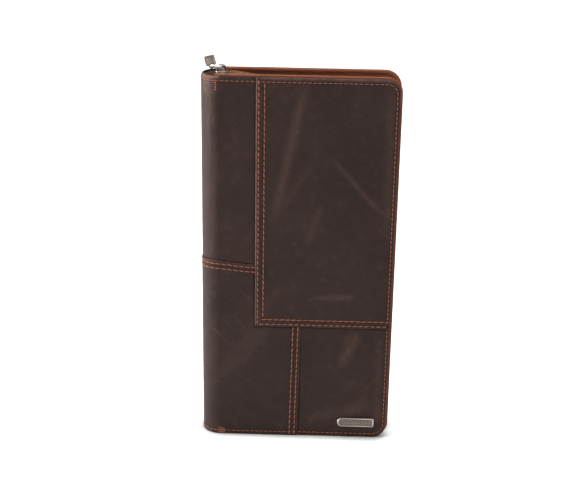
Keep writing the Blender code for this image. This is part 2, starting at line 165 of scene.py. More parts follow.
def noiseOf(tree, vector, scale, detail=2.0, roughness=0.5, stretch=None, turn=(0, 0, 0)):
    if stretch:
        vector = addNode(tree, "ShaderNodeMapping", {"Vector": vector, "Scale": stretch, "Rotation": turn},
                         vector_type="TEXTURE").outputs[0]
    made = addNode(tree, "ShaderNodeTexNoise", {"Vector": vector, "Scale": scale, "Detail": detail,
                                                "Roughness": roughness})
    return made.outputs[0]


def newGroup(name, inputs, outputs):
    group = bpy.data.node_groups.new(name, "ShaderNodeTree")
    kinds = {"V": "NodeSocketVector", "F": "NodeSocketFloat", "C": "NodeSocketColor"}
    for label, kind in inputs:
        group.interface.new_socket(name=label, in_out="INPUT", socket_type=kinds[kind])
    for label, kind in outputs:
        group.interface.new_socket(name=label, in_out="OUTPUT", socket_type=kinds[kind])
    return group, group.nodes.new("NodeGroupInput").outputs, group.nodes.new("NodeGroupOutput").inputs


def makeHideGroup():
    # pull-up leather: cloudy dark brown, pale rubbed streaks, fine pores; edges pale from wear plus painted
    # highlight, scuffs that are partly painted highlight, and painted shade towards the deep tone
    group, given, out = newGroup("pullUpHide", [("Vector", "V"), ("Deep", "C"), ("Body", "C"), ("Pale", "C"),
                                                ("Wear", "F"), ("Seam", "F"), ("Scuff", "F")],
                                 [("Color", "C"), ("Roughness", "F"), ("Height", "F")])
    where = given["Vector"]
    clouds = noiseOf(group, where, 22.0, 4.0, 0.55)
    mottle = noiseOf(group, where, 160.0, 5.0, 0.65)
    colour = blendColour(group, span(group, clouds, 0.35, 0.68), given["Deep"], given["Body"])
    colour = blendColour(group, span(group, mottle, 0.50, 0.85, 0.0, 0.14), colour, given["Pale"])
    streaks = noiseOf(group, where, 70.0, 5.0, 0.6, (1.0, 1.0, 7.0), (0, math.radians(34), 0))
    hairs = noiseOf(group, where, 420.0, 3.0, 0.5, (1.0, 1.0, 26.0), (0, math.radians(-42), 0))
    patchy = span(group, noiseOf(group, where, 16.0, 2.0), 0.48, 0.66)
    rubbed = calc(group, "MAXIMUM", span(group, streaks, 0.58, 0.80, 0.0, 0.15),
                  times(group, span(group, hairs, 0.62, 0.72, 0.0, 0.16), patchy))
    colour = blendColour(group, rubbed, colour, given["Pale"])
    broken = span(group, noiseOf(group, where, 420.0, 4.0, 0.7), 0.32, 0.62, 0.25, 1.0)
    colour = blendColour(group, times(group, given["Scuff"], broken), colour, given["Pale"])
    worn = span(group, noiseOf(group, where, 300.0, 4.0, 0.7), 0.30, 0.62, 0.05, 0.34)
    colour = blendColour(group, times(group, given["Wear"], worn), colour, given["Pale"])
    # painted shade: the seam mark multiplies the colour towards the deep tone
    colour = blendColour(group, times(group, given["Seam"], 0.62), colour, given["Deep"], "MULTIPLY")
    group.links.new(colour, out["Color"])
    rough = plus(group, span(group, clouds, 0.3, 0.7, 0.50, 0.58), span(group, mottle, 0.35, 0.8, 0.0, 0.08))
    rough = plus(group, rough, times(group, rubbed, -0.12))
    group.links.new(rough, out["Roughness"])
    pores = addNode(group, "ShaderNodeTexVoronoi", {"Vector": where, "Scale": 1250.0},
                    feature="DISTANCE_TO_EDGE").outputs[0]
    creases = span(group, noiseOf(group, where, 700.0, 6.0, 0.7), 0.3, 0.7)
    height = plus(group, times(group, span(group, pores, 0.0, 0.12), 0.35), times(group, creases, 0.6))
    height = plus(group, height, times(group, rubbed, -0.5))
    group.links.new(height, out["Height"])
    return group


def makeWeaveGroup():
    # two sets of yarns crossing at right angles, with a little fluff
    group, given, out = newGroup("yarnWeave", [("Vector", "V"), ("Across", "F"), ("Dark", "C"),
                                               ("Light", "C")],
                                 [("Color", "C"), ("Height", "F")])
    parts = addNode(group, "ShaderNodeSeparateXYZ", {"Vector": given["Vector"]}).outputs
    side = plus(group, parts[0], parts[1])
    a = calc(group, "SINE", times(group, side, given["Across"]))
    b = calc(group, "SINE", times(group, parts[2], given["Across"]))
    cross = times(group, a, b)
    fluff = noiseOf(group, given["Vector"], 900.0, 4.0, 0.7)
    rib = plus(group, span(group, cross, -0.7, 0.7, 0.0, 0.75), times(group, fluff, 0.35))
    colour = blendColour(group, rib, given["Dark"], given["Light"])
    stain = noiseOf(group, given["Vector"], 60.0, 3.0, 0.6)
    colour = blendColour(group, span(group, stain, 0.5, 0.8, 0.0, 0.3), colour, given["Dark"])
    group.links.new(colour, out["Color"])
    group.links.new(rib, out["Height"])
    return group


def makeTarnishGroup():
    # rubbed metal with dark left in its hollows, and painted shade where the hollow mark darkens a rim's
    # middle
    group, given, out = newGroup("oldMetal", [("Vector", "V"), ("Bright", "C"), ("Dark", "C"),
                                              ("Hollow", "F")],
                                 [("Color", "C"), ("Roughness", "F"), ("Height", "F")])
    patches = noiseOf(group, given["Vector"], 450.0, 5.0, 0.65)
    brushed = noiseOf(group, given["Vector"], 900.0, 3.0, 0.5, (0.25, 3.0, 3.0))
    grime = calc(group, "MAXIMUM", span(group, patches, 0.48, 0.72, 0.0, 0.6), given["Hollow"])
    group.links.new(blendColour(group, grime, given["Bright"], given["Dark"]), out["Color"])
    group.links.new(plus(group, span(group, grime, 0.0, 1.0, 0.24, 0.52),
                         span(group, brushed, 0.3, 0.7, 0.0, 0.1)),
                    out["Roughness"])
    group.links.new(plus(group, patches, times(group, brushed, 0.5)), out["Height"])
    return group


groups = {"hide": makeHideGroup(), "weave": makeWeaveGroup(), "metal": makeTarnishGroup()}


def startMaterial(name, **constants):
    mat = bpy.data.materials.new(name)
    mat.use_nodes = True
    shader = mat.node_tree.nodes["Principled BSDF"]
    for label, value in constants.items():
        shader.inputs[label.replace("_", " ")].default_value = value
    where = addNode(mat.node_tree, "ShaderNodeTexCoord").outputs["Object"]
    return mat, mat.node_tree, shader, where


def useGroup(tree, key, **inputs):
    made = addNode(tree, "ShaderNodeGroup", node_tree=groups[key])
    for label, value in inputs.items():
        feed(tree, made.inputs[label], value)
    return made.outputs


def addBump(tree, shader, height, distance):
    bump = addNode(tree, "ShaderNodeBump", {"Height": height, "Distance": distance * mm, "Strength": 1.0})
    tree.links.new(bump.outputs[0], shader.inputs["Normal"])


def mark(tree, name):
    return addNode(tree, "ShaderNodeAttribute", attribute_name=name,
                   attribute_type="GEOMETRY").outputs["Fac"]


def showGroup(tree, shader, out, depth):
    tree.links.new(out["Color"], shader.inputs["Base Color"])
    tree.links.new(out["Roughness"], shader.inputs["Roughness"])
    addBump(tree, shader, out["Height"], depth)


def hideMaterial(name, deep, body, pale, specular=0.5, depth=0.09):
    mat, tree, shader, where = startMaterial(name, Specular_IOR_Level=specular)
    out = useGroup(tree, "hide", Vector=where, Deep=(*deep, 1), Body=(*body, 1), Pale=(*pale, 1),
                   Wear=mark(tree, "wear"), Seam=mark(tree, "seam"), Scuff=mark(tree, "scuff_and_highlight"))
    showGroup(tree, shader, out, depth)
    return mat


def weaveMaterial(name, dark, light, yarn, sheen=0.25):
    mat, tree, shader, where = startMaterial(name, Roughness=0.85, Sheen_Weight=sheen,
                                             Specular_IOR_Level=0.2)
    out = useGroup(tree, "weave", Vector=where, Across=2 * math.pi / (yarn * mm), Dark=(*dark, 1),
                   Light=(*light, 1))
    # painted shade: where the seam mark is set the weave turns near-black
    shaded = blendColour(tree, times(tree, mark(tree, "seam"), 0.8), out["Color"], (0.024, 0.011, 0.008, 1))
    tree.links.new(shaded, shader.inputs["Base Color"])
    addBump(tree, shader, out["Height"], 0.12)
    return mat


def metalMaterial(name, bright, dark, depth=0.03, metallic=1.0):
    mat, tree, shader, where = startMaterial(name, Metallic=metallic)
    out = useGroup(tree, "metal", Vector=where, Bright=(*bright, 1), Dark=(*dark, 1),
                   Hollow=mark(tree, "hollow_and_shade"))
    showGroup(tree, shader, out, depth)
    return mat


def threadMaterial(name, dark, light, lay):
    # two plies twisted together, with fibres picked out by noise
    mat, tree, shader, where = startMaterial(name, Roughness=0.7, Specular_IOR_Level=0.2)
    ply = addNode(tree, "ShaderNodeTexWave", {"Vector": where, "Scale": lay / mm, "Distortion": 1.0,
                                              "Detail": 2.0},
                  bands_direction="DIAGONAL").outputs["Fac"]
    fibres = noiseOf(tree, where, 1600.0, 3.0, 0.7)
    shade = plus(tree, times(tree, ply, 0.55), times(tree, fibres, 0.6))
    tree.links.new(blendColour(tree, shade, (*dark, 1), (*light, 1)), shader.inputs["Base Color"])
    addBump(tree, shader, shade, 0.08)
    return mat


def coilMaterial(name, dark, light):
    mat, tree, shader, where = startMaterial(name, Roughness=0.42, Specular_IOR_Level=0.5)
    tone = span(tree, noiseOf(tree, where, 260.0, 4.0, 0.6), 0.35, 0.65)
    tree.links.new(blendColour(tree, tone, (*dark, 1), (*light, 1)), shader.inputs["Base Color"])
    tree.links.new(span(tree, tone, 0.0, 1.0, 0.34, 0.5), shader.inputs["Roughness"])
    addBump(tree, shader, noiseOf(tree, where, 2200.0, 2.0), 0.03)
    return mat


def cardMaterial(name, dark, light):
    mat, tree, shader, where = startMaterial(name, Roughness=0.9)
    pulp = noiseOf(tree, where, 700.0, 6.0, 0.75)
    tree.links.new(blendColour(tree, span(tree, pulp, 0.3, 0.7), (*dark, 1), (*light, 1)),
                   shader.inputs["Base Color"])
    addBump(tree, shader, pulp, 0.06)
    return mat


def filmMaterial(name):
    mat, tree, shader, where = startMaterial(name, IOR=1.45, Transmission_Weight=0.9)
    haze = noiseOf(tree, where, 90.0, 4.0, 0.6)
    tree.links.new(blendColour(tree, haze, (0.80, 0.82, 0.82, 1), (0.95, 0.96, 0.96, 1)),
                   shader.inputs["Base Color"])
    tree.links.new(span(tree, haze, 0.3, 0.7, 0.05, 0.16), shader.inputs["Roughness"])
    addBump(tree, shader, noiseOf(tree, where, 45.0, 2.0), 0.15)
    return mat


finish = {
    "hide": hideMaterial("darkHide", (0.0155, 0.0078, 0.0064), (0.0235, 0.0122, 0.0102),
                         (0.110, 0.060, 0.046), 0.12),
    "pocket": hideMaterial("pocketHide", (0.036, 0.021, 0.016), (0.058, 0.034, 0.026), (0.16, 0.10, 0.075),
                           0.25, 0.06),
    "thread": threadMaterial("rustThread", (0.085, 0.027, 0.014), (0.280, 0.096, 0.052), 0.9),
    "tape": weaveMaterial("rustTape", (0.105, 0.031, 0.015), (0.30, 0.104, 0.054), 0.8, 0.0),
    "coil": coilMaterial("rustCoil", (0.15, 0.058, 0.036), (0.46, 0.25, 0.18)),
    "lining": weaveMaterial("brownLining", (0.055, 0.030, 0.018), (0.135, 0.078, 0.048), 0.9),
    "card": cardMaterial("pressedCard", (0.22, 0.19, 0.14), (0.36, 0.31, 0.24)),
    "nickel": metalMaterial("antiqueNickel", (0.27, 0.225, 0.198), (0.085, 0.066, 0.056)),
    "plateField": metalMaterial("darkNickel", (0.115, 0.09, 0.078), (0.05, 0.038, 0.033)),
    "sliderMetal": metalMaterial("castNickel", (0.46, 0.41, 0.37), (0.10, 0.08, 0.07)),
    "tabMetal": metalMaterial("tabNickel", (0.235, 0.195, 0.168), (0.12, 0.095, 0.08), 0.02),
    "wire": metalMaterial("polishedNickel", (0.87, 0.85, 0.82), (0.55, 0.52, 0.49), 0.01, 0.6),
    "film": filmMaterial("clearFilm"),
}
print("materials made")


# making pieces
def addPiece(name, bm, material, body=None, stands=(), sharp=40):
    bmesh.ops.recalc_face_normals(bm, faces=bm.faces)
    bmesh.ops.scale(bm, vec=(mm, mm, mm), verts=bm.verts)
    mesh = bpy.data.meshes.new(name)
    bm.to_mesh(mesh)
    bm.free()
    mesh.materials.append(finish[material])
    mesh.shade_smooth()
    mesh.set_sharp_from_angle(angle=math.radians(sharp))
    obj = bpy.data.objects.new(name, mesh)
    bpy.context.scene.collection.objects.link(obj)
    if body:
        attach(obj, body)
    if stands:
        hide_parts(*stands)
    return obj


def gridLines(low, high, details=(), fine=0.5, coarse=2.4, reach=5.0, edges=(True, True),
              rim=(0.1, 0.28, 0.52, 0.82, 1.15)):
    # positions from low to high, close together at the rims and near each detail
    head = [low] + [low + r for r in rim] if edges[0] else [low]
    tail = [high - r for r in reversed(rim)] + [high] if edges[1] else [high]
    lines = head[:]
    while True:
        at = lines[-1]
        near = min([abs(at + fine - d) for d in details] + [99.0])
        step = fine + (coarse - fine) * smooth(0.8, reach, near)
        if at + step * 1.4 > tail[0]:
            break
        lines.append(at + step)
    return lines + tail


def evenLines(low, high, step, rim=True):
    return gridLines(low, high, (), step, step, edges=(rim, rim))


def outlineOf(u0, u1, v0, v1, rolled="", corners=()):
    return {"box": (u0, u1, v0, v1), "rolled": rolled, "corners": dict(corners)}


def roundCorners(outline):
    # each rounded corner's point, the signs that point out of it, and its radius
    u0, u1, v0, v1 = outline["box"]
    spots = {"tr": (u1, v1, 1, 1), "br": (u1, v0, 1, -1), "tl": (u0, v1, -1, 1), "bl": (u0, v0, -1, -1)}
    return [(*spots[key], r) for key, r in outline["corners"].items()]


def cornerMap(outline, u, v):
    # squeeze a square corner of the grid into a round one
    for cu, cv, su, sv, r in roundCorners(outline):
        a = (u - (cu - su * r)) * su / r
        b = (v - (cv - sv * r)) * sv / r
        if a > 0 and b > 0:
            return (cu - su * r + su * r * a * math.sqrt(max(0, 1 - b * b / 2)),
                    cv - sv * r + sv * r * b * math.sqrt(max(0, 1 - a * a / 2)))
    return u, v


def rimGap(outline, u, v):
    # distance to the nearest rolled edge
    u0, u1, v0, v1 = outline["box"]
    gaps = {"l": u - u0, "r": u1 - u, "b": v - v0, "t": v1 - v}
    for cu, cv, su, sv, r in roundCorners(outline):
        a = (u - (cu - su * r)) * su
        b = (v - (cv - sv * r)) * sv
        if a > 0 and b > 0:
            return r - math.hypot(a, b)
    return min([gaps[k] for k in outline["rolled"]] + [99.0])


def rollDrop(gap, width, drop):
    if gap >= width:
        return 0.0
    t = 1 - max(0.0, gap) / width
    return drop * (1 - math.sqrt(max(0.0, 1 - t * t)))


def rowGap(rows, u, v, limit=2.2):
    # distance to the nearest stitch row
    best = 99.0
    for row in rows:
        for (au, av), (bu, bv) in zip(row, row[1:]):
            if u < min(au, bu) - limit or u > max(au, bu) + limit:
                continue
            if v < min(av, bv) - limit or v > max(av, bv) + limit:
                continue
            du, dv = bu - au, bv - av
            t = min(1.0, max(0.0, ((u - au) * du + (v - av) * dv) / (du * du + dv * dv)))
            best = min(best, math.hypot(u - au - t * du, v - av - t * dv))
    return best


def cornerArc(cu, cv, r, start, end, steps=8):
    return [(cu + r * math.cos(math.radians(start + (end - start) * i / steps)),
             cv + r * math.sin(math.radians(start + (end - start) * i / steps))) for i in range(steps + 1)]


def roundBox(left, right, low, high, r, steps):
    return [*cornerArc(right - r, low + r, r, -90, 0, steps),
            *cornerArc(right - r, high - r, r, 0, 90, steps),
            *cornerArc(left + r, high - r, r, 90, 180, steps),
            *cornerArc(left + r, low + r, r, 180, 270, steps)]


def ovalPoints(count, wide, tall=None):
    tall = wide if tall is None else tall
    turns = [2 * math.pi * i / count for i in range(count)]
    return [(wide * math.cos(a), tall * math.sin(a)) for a in turns]


def panelMesh(uLines, vLines, outline, top, under, place, rows=(), keep=None, warp=None, scuffs=(),
              wearWidth=1.1, valley=0.26, shade=None, wearAndHighlight=None):
    bm = bmesh.new()
    bmesh.ops.create_grid(bm, x_segments=len(uLines) - 1, y_segments=len(vLines) - 1, size=0.5)
    marks = {key: bm.verts.layers.float.new(key) for key in ("wear", "seam", "scuff_and_highlight")}
    for v in bm.verts:
        i = round((v.co.x + 0.5) * (len(uLines) - 1))
        j = round((v.co.y + 0.5) * (len(vLines) - 1))
        v.co = (*cornerMap(outline, uLines[i], vLines[j]), 0)
    if keep:
        lost = [f for f in bm.faces if not keep(*f.calc_center_median().xy)]
        bmesh.ops.delete(bm, geom=lost, context="FACES")
    base = bm.verts[:]
    made = bmesh.ops.extrude_face_region(bm, geom=bm.faces[:], use_keep_orig=True)
    raised = [item for item in made["geom"] if isinstance(item, bmesh.types.BMVert)]
    for v in base:
        u, w = v.co.xy
        shown = warp(u, w) if warp else (u, w)
        v.co = place(*shown, under(u, w))
    for v in raised:
        u, w = v.co.xy
        gap = rimGap(outline, u, w)
        # the seam mark sinks the leather along stitch rows and darkens it there as painted shade; shade()
        # adds further painted shade
        seam = math.exp(-(rowGap(rows, u, w) / 0.62) ** 2) if rows else 0.0
        shown = warp(u, w) if warp else (u, w)
        slow = noise.noise(Vector((shown[0] / 34, shown[1] / 46, 3.1)))
        quick = noise.noise(Vector((shown[0] / 7, shown[1] / 7, 8.0)))
        swell = 0.10 * slow + 0.03 * quick
        level = top(u, w, gap) + valley * seam + swell
        v.co = place(*shown, level)
        # edge wear, lightened further by a factor where an edge is painted as a highlight
        worn = math.exp(-(gap / wearWidth) ** 2) if gap < 9 else 0.0
        v[marks["wear"]] = worn * (wearAndHighlight(u, w) if wearAndHighlight else 1.0)
        v[marks["seam"]] = max(seam, shade(u, w)) if shade else seam
        v[marks["scuff_and_highlight"]] = scuffAt(scuffs, u, w)
    return bm


def scuffAt(scuffs, u, v):
    strength = 0.0
    for (au, av), (bu, bv), width, weight in scuffs:
        du, dv = bu - au, bv - av
        t = ((u - au) * du + (v - av) * dv) / (du * du + dv * dv)
        across = abs((u - au) * dv - (v - av) * du) / math.hypot(du, dv)
        ends = smooth(-0.15, 0.2, t) * (1 - smooth(0.8, 1.15, t))
        strength = max(strength, weight * ends * math.exp(-(across / width) ** 2))
    return strength


class Pile:
    # many small shapes, gathered a few at a time so that each bmesh stays small
    def __init__(self):
        self.bm = bmesh.new()
        self.count = 0
        self.full = []

    def take(self):
        self.count += 1
        if self.count % 16 == 0:
            self.store()
        return self.bm

    def store(self):
        mesh = bpy.data.meshes.new("pile")
        self.bm.to_mesh(mesh)
        self.bm.free()
        self.full.append(mesh)
        self.bm = bmesh.new()

    def whole(self):
        self.store()
        whole = bmesh.new()
        for mesh in self.full:
            whole.from_mesh(mesh)
            bpy.data.meshes.remove(mesh)
        return whole


stitch = {"pitch": 3.9, "length": 3.3, "width": 0.80, "height": 0.62, "slant": 5.0}
edgeStitch = {"pitch": 3.2, "length": 2.8, "scale": 0.8}
insideStitch = {"pitch": 3.3, "length": 2.6, "scale": 0.8}


def addDome(bm, centre, radii, axes=((1, 0, 0), (0, 1, 0), (0, 0, 1)), around=12, high=8):
    turn = Matrix(axes).transposed().to_4x4()
    bmesh.ops.create_uvsphere(bm, u_segments=around, v_segments=high, radius=1.0,
                              matrix=Matrix.Translation(centre) @ turn @ Matrix.Diagonal((*radii, 1)))


def addStitches(bm, row, place, top, pitch=None, length=None, choose=None, start=0.5, scale=1.0):
    # rice-shaped stitches along a row, sunk at both ends; choose gives the bmesh for a stitch
    pitch = pitch or stitch["pitch"]
    length = length or stitch["length"]
    due = pitch * start
    for (au, av), (bu, bv) in zip(row, row[1:]):
        run = math.hypot(bu - au, bv - av)
        du, dv = (bu - au) / run, (bv - av) / run
        while due <= run:
            u, v = au + du * due, av + dv * due
            target = choose(u, v) if choose else bm
            if target is not None:
                level = top(u, v)
                lean = math.radians(stitch["slant"] * random.uniform(0.6, 1.4))
                tu = du * math.cos(lean) - dv * math.sin(lean)
                tv = du * math.sin(lean) + dv * math.cos(lean)
                half = length / 2 * random.uniform(0.95, 1.04)
                a = place(u - tu * half, v - tv * half, level)
                b = place(u + tu * half, v + tv * half, level)
                out = (place(u, v, level - 1) - place(u, v, level)).normalized()
                along = (b - a).normalized()
                out = (out - along * out.dot(along)).normalized()
                side = out.cross(along)
                middle = place(u, v, level - 0.04)
                wide, high = stitch["width"] * scale / 2, stitch["height"] * scale / 2
                addDome(target.take(), middle, (wide, high, (b - a).length / 2), (side, out, along), 7, 6)
            due += pitch
        due -= run


def addTack(bm, u0, u1, v0, v1, place, level, pitch=0.75):
    # close zigzag of thread that holds an end
    bars = int((v1 - v0) / pitch)
    for i in range(bars + 1):
        v = v0 + (v1 - v0) * i / bars
        row = [(u0, v), (u1, v + pitch * 0.5 * (-1) ** i)]
        size = math.hypot(row[1][0] - row[0][0], row[1][1] - row[0][1])
        addStitches(bm, row, place, lambda a, b: level, pitch=size * 2, length=size * 1.1, start=0.25,
                    scale=0.66)


# big front panel
mainPanel = {"roll": 1.8, "drop": 1.0, "rowLeft": (2.0, 5.6), "rowFoot": (2.0, 5.4), "rowRight": 1.7,
             "rowTop": 2.8,
             "scuffs": [((2.3, 246), (-16, 160), 2.6, 0.30), ((21, 200), (52, 165), 1.1, 0.34),
                        ((12, 104), (37, 105), 1.6, 0.30), ((14, 168), (6, 143), 2.4, 0.16),
                        ((56, 250), (58, 150), 3.0, 0.16)]}
edgeCorner = caseCorner - (halfWidth - mainHigh.x)
rightX = mainHigh.x - mainPanel["rowRight"]
topZ = leatherTop - mainPanel["rowTop"]
topBend = cornerArc(rightX - 6.6, topZ - 6.6, 6.6, 0, 90, 8)
outerX, innerX = (seamX + d for d in mainPanel["rowLeft"])
outerZ, innerZ = (frontSeamZ + d for d in mainPanel["rowFoot"])
mainRows = [
    [(outerX, leatherTop - 1.2), (outerX, outerZ), (mainHigh.x - 0.6, outerZ)],
    [(innerX, topZ - 0.6), (innerX, innerZ + 0.8), (innerX + 0.8, innerZ), (mainHigh.x - 0.6, innerZ)],
    [(rightX, frontSeamZ + 6.6), *topBend, (seamX + 1.0, topZ)],
]
mainOutline = outlineOf(seamX, mainHigh.x, frontSeamZ, leatherTop, "lrbt", {"tr": edgeCorner})


def mainTop(u, v, gap):
    puff = -0.12 * math.exp(-((rimGapLap(u, v) - 3.8) / 1.1) ** 2)
    return rollDrop(gap, mainPanel["roll"], mainPanel["drop"]) + puff + 0.15


def rimGapLap(u, v):
    return min(u - seamX, v - frontSeamZ)


def mainUnder(u, v):
    return lapUnder if rimGapLap(u, v) < lapWidth else leatherUnder


# painted highlight: the edge wear is raised strongly on the left fold and the top rim, which catch the light
addPiece("frontMainPanel", panelMesh(
    gridLines(seamX, mainHigh.x, (outerX, innerX, rightX), fine=0.45, coarse=2.2),
    gridLines(frontSeamZ, leatherTop, (outerZ, innerZ, topZ), fine=0.45, coarse=1.7),
    mainOutline, mainTop, mainUnder, placeFront, mainRows, scuffs=mainPanel["scuffs"],
    wearAndHighlight=lambda u, v: 2.6 if u < seamX + 3 and v > frontSeamZ + 2 else 2.6 if v > leatherTop - 4 else 0.7),
    "hide", "front_cover", ["front_main_panel"])


def onMain(u, v):
    return 0.25


frontThread = Pile()
for row, style in zip(mainRows, ({"length": 3.3}, {"length": 3.8}, edgeStitch)):
    addStitches(frontThread, row, placeFront, onMain, **style)
print("big front panel made")

# lower front panel
lowerPanel = {"rowFoot": 2.8, "bend": 7.4,
              "scuffs": [((55.5, 78), (56.5, 8), 2.6, 0.16), ((40, 78), (31, 56), 3.4, 0.32),
                         ((8, 14), (54, 24), 4.5, 0.14), ((33, 77), (34, 64), 1.2, 0.2)]}
lowRight = mainHigh.x
rowX = lowRight - mainPanel["rowRight"]
lowLeft, lowTop = lowerSeamX - lapWidth + 0.3, frontSeamZ + lapWidth - 0.3
lowerOutline = outlineOf(lowLeft, lowRight, 0.0, lowTop, "rb", {"br": edgeCorner})
footBend = cornerArc(rowX - lowerPanel["bend"], lowerPanel["rowFoot"] + lowerPanel["bend"],
                     lowerPanel["bend"], 0, -90, 8)
lowerRows = [[(rowX, frontSeamZ - 0.5), *footBend, (lowerSeamX + 0.5, lowerPanel["rowFoot"])]]


def lowerTop(u, v, gap):
    under = max(smooth(frontSeamZ - 1.0, frontSeamZ + 0.4, v),
                1 - smooth(lowerSeamX - 0.2, lowerSeamX + 1.2, u))
    return baseLevel + (flangeLevel - baseLevel) * under + rollDrop(gap, 1.3, 0.9)


addPiece("frontLowerPanel", panelMesh(
    gridLines(lowLeft, lowRight, (lowerSeamX, rowX), fine=0.5, coarse=2.2, edges=(False, True)),
    gridLines(0, lowTop, (lowerPanel["rowFoot"], frontSeamZ), fine=0.45, coarse=1.9, edges=(True, False)),
    lowerOutline, lowerTop, lambda u, v: leatherUnder, placeFront, lowerRows, scuffs=lowerPanel["scuffs"]),
    "hide", "front_cover", ["front_lower_panel"])
for row in lowerRows:
    addStitches(frontThread, row, placeFront, lambda u, v: baseLevel + 0.1, **edgeStitch)

# panels that wrap the spine
wrap = {"seamRows": (2.2, 5.4), "reachRows": (2.2, 5.5), "topRow": 2.8, "footRow": 2.8, "slant": 1.45,
        "tacks": ((1.5, 3.0, 243.6, 249.6), (-3.6, 1.6, 0.9, 4.4))}
frontEnd = spineX - (seamX + lapWidth - 0.3)
backEnd = spineGirth - frontEnd
cuts = [math.radians(a) * spineRadius for a in (30, 90, 150)]
sections = [
    {"key": "Front", "low": frontEnd, "high": cuts[0], "bodies": ("front_cover", "spine_front"),
     "crease": 0.0},
    {"key": "SpineFront", "low": cuts[0], "high": cuts[1], "bodies": ("spine_front", "spine_middle"),
     "crease": math.radians(60) * spineRadius},
    {"key": "SpineRear", "low": cuts[1], "high": cuts[2], "bodies": ("spine_middle", "spine_rear"),
     "crease": math.radians(120) * spineRadius},
    {"key": "Back", "low": cuts[2], "high": backEnd, "bodies": ("spine_rear", "back_cover"),
     "crease": spineGirth},
]


def wrapBlend(obj):
    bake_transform(obj)


def addWrapPiece(name, bm, material, stands=()):
    obj = addPiece(name, bm, material, None, stands)
    wrapBlend(obj)
    return obj


def seamLean(g):
    # the horizontal seam climbs a little towards the spine
    if g <= cuts[0]:
        return -0.7 + 2.2 * smooth(spineX - seamX, 4.6, g)
    return -0.7 + 2.2 * (1 - smooth(spineGirth - 4.6, backEnd - lapWidth, g))


def nearSide(g):
    # past the folded edge of a big panel, the wrap runs on under it
    return max(1 - smooth(spineX - seamX - 0.3, spineX - seamX + 0.9, g),
               smooth(spineGirth - spineX + seamX - 0.9, spineGirth - spineX + seamX + 0.3, g))


def onSpine(g):
    return smooth(-1.5, 1.0, g) * (1 - smooth(spineGirth - 1.0, spineGirth + 1.5, g))


def upperTop(g, z, gap):
    seam = 1 - smooth(sideSeamZ + seamLean(g) - 0.2, sideSeamZ + seamLean(g) + 1.1, z)
    rim = rollDrop(leatherTop - z, 1.2 + 1.3 * onSpine(g), 0.95 + 0.35 * onSpine(g))
    return baseLevel + (flangeLevel - baseLevel) * max(seam, nearSide(g)) + rim


def upperUnder(g, z):
    hem = onSpine(g) * smooth(leatherTop - 4.8, leatherTop - 4.2, z)
    return leatherUnder + hem * (1.0 - rollDrop(leatherTop - z, 0.8, 0.7))


def lowerSideTop(g, z, gap):
    fold = rollDrop(sideSeamZ - z, 1.3, 0.75)
    foot = rollDrop(z, 1.2, 0.95)
    seam = rollDrop(g - spineX + lowerSeamX, 1.2, 0.7)
    dip = nearSide(g) * (smooth(frontSeamZ - 1.0, frontSeamZ + 0.4, z) if g < 0 else 1.0)
    return sideLevel + (flangeLevel - sideLevel) * dip + fold + foot + seam


def lowerSideUnder(g, z):
    hem = onSpine(g) * (1 - smooth(4.2, 4.8, z))
    lap = lapUnder if z > sideSeamZ - lapWidth or spineX - g > lowerSeamX - lapWidth else leatherUnder
    return lap + hem * (0.85 - rollDrop(z, 1.1, 1.1))


upperRow = [(-(seamX - spineX) + 0.5, leatherTop - wrap["topRow"]),
            (spineGirth + (seamX - spineX) - 0.5, leatherTop - wrap["topRow"])]
footRow = [(spineX - lowerSeamX + 1.4, wrap["footRow"]), (upperRow[1][0], wrap["footRow"])]
reachRows = [[(spineX - lowerSeamX + d, frontSeamZ + 0.6), (spineX - lowerSeamX + d, 2.2)]
             for d in wrap["reachRows"]]
seamRows = [[(upperRow[0][0] - 1.5, sideSeamZ - d), (upperRow[1][0], sideSeamZ - d)]
            for d in wrap["seamRows"]]


def leanWarp(g, z):
    # the lower seam slants, the side seam leans
    aside = wrap["slant"] * (z - 41) / 80 * smooth(seamX + lapWidth, lowerSeamX - 6, spineX - g)
    return g - aside, z + seamLean(g) * smooth(sideSeamZ - 45, sideSeamZ, z)


def pickSection(meshes):
    def choose(g, z):
        if g < frontEnd:
            return meshes[0]
        for section, bm in zip(sections, meshes):
            if section["low"] <= g < section["high"]:
                return bm
        return None
    return choose


def topWarp(g, z):
    # the back stands a little taller than the front and the spine
    nearBack = smooth(spineGirth - 3, spineGirth + 5, g)
    return g, z + (backHigh.z - leatherTop) * nearBack * smooth(leatherTop - 30, leatherTop - 3, z)


def leanPlace(g, z, level):
    return placeWrap(*leanWarp(g, z), level)


def topPlace(g, z, level):
    return placeWrap(*topWarp(g, z), level)


def underFrontPanel(g, z):
    return g > frontEnd or z < frontSeamZ + lapWidth


threads = [Pile() for _ in sections]
addStitches(None, upperRow, topPlace, lambda g, z: baseLevel + 0.1, **edgeStitch,
            choose=pickSection(threads))
for row in reachRows:
    addStitches(None, row, leanPlace, lambda g, z: sideLevel + 0.1, length=3.65, choose=pickSection(threads))
addStitches(None, footRow, placeWrap, lambda g, z: sideLevel + 0.1, **edgeStitch,
            choose=pickSection(threads))
for row in seamRows:
    addStitches(None, row, leanPlace, lambda g, z: sideLevel + 0.1, length=3.75, choose=pickSection(threads))
for (g0, g1, z0, z1), level in zip(wrap["tacks"], (baseLevel, sideLevel)):
    addTack(threads[0], g0, g1, z0, z1, placeWrap, level + 0.02)
    addTack(threads[3], spineGirth - g1, spineGirth - g0, z0, z1, placeWrap, level + 0.02)

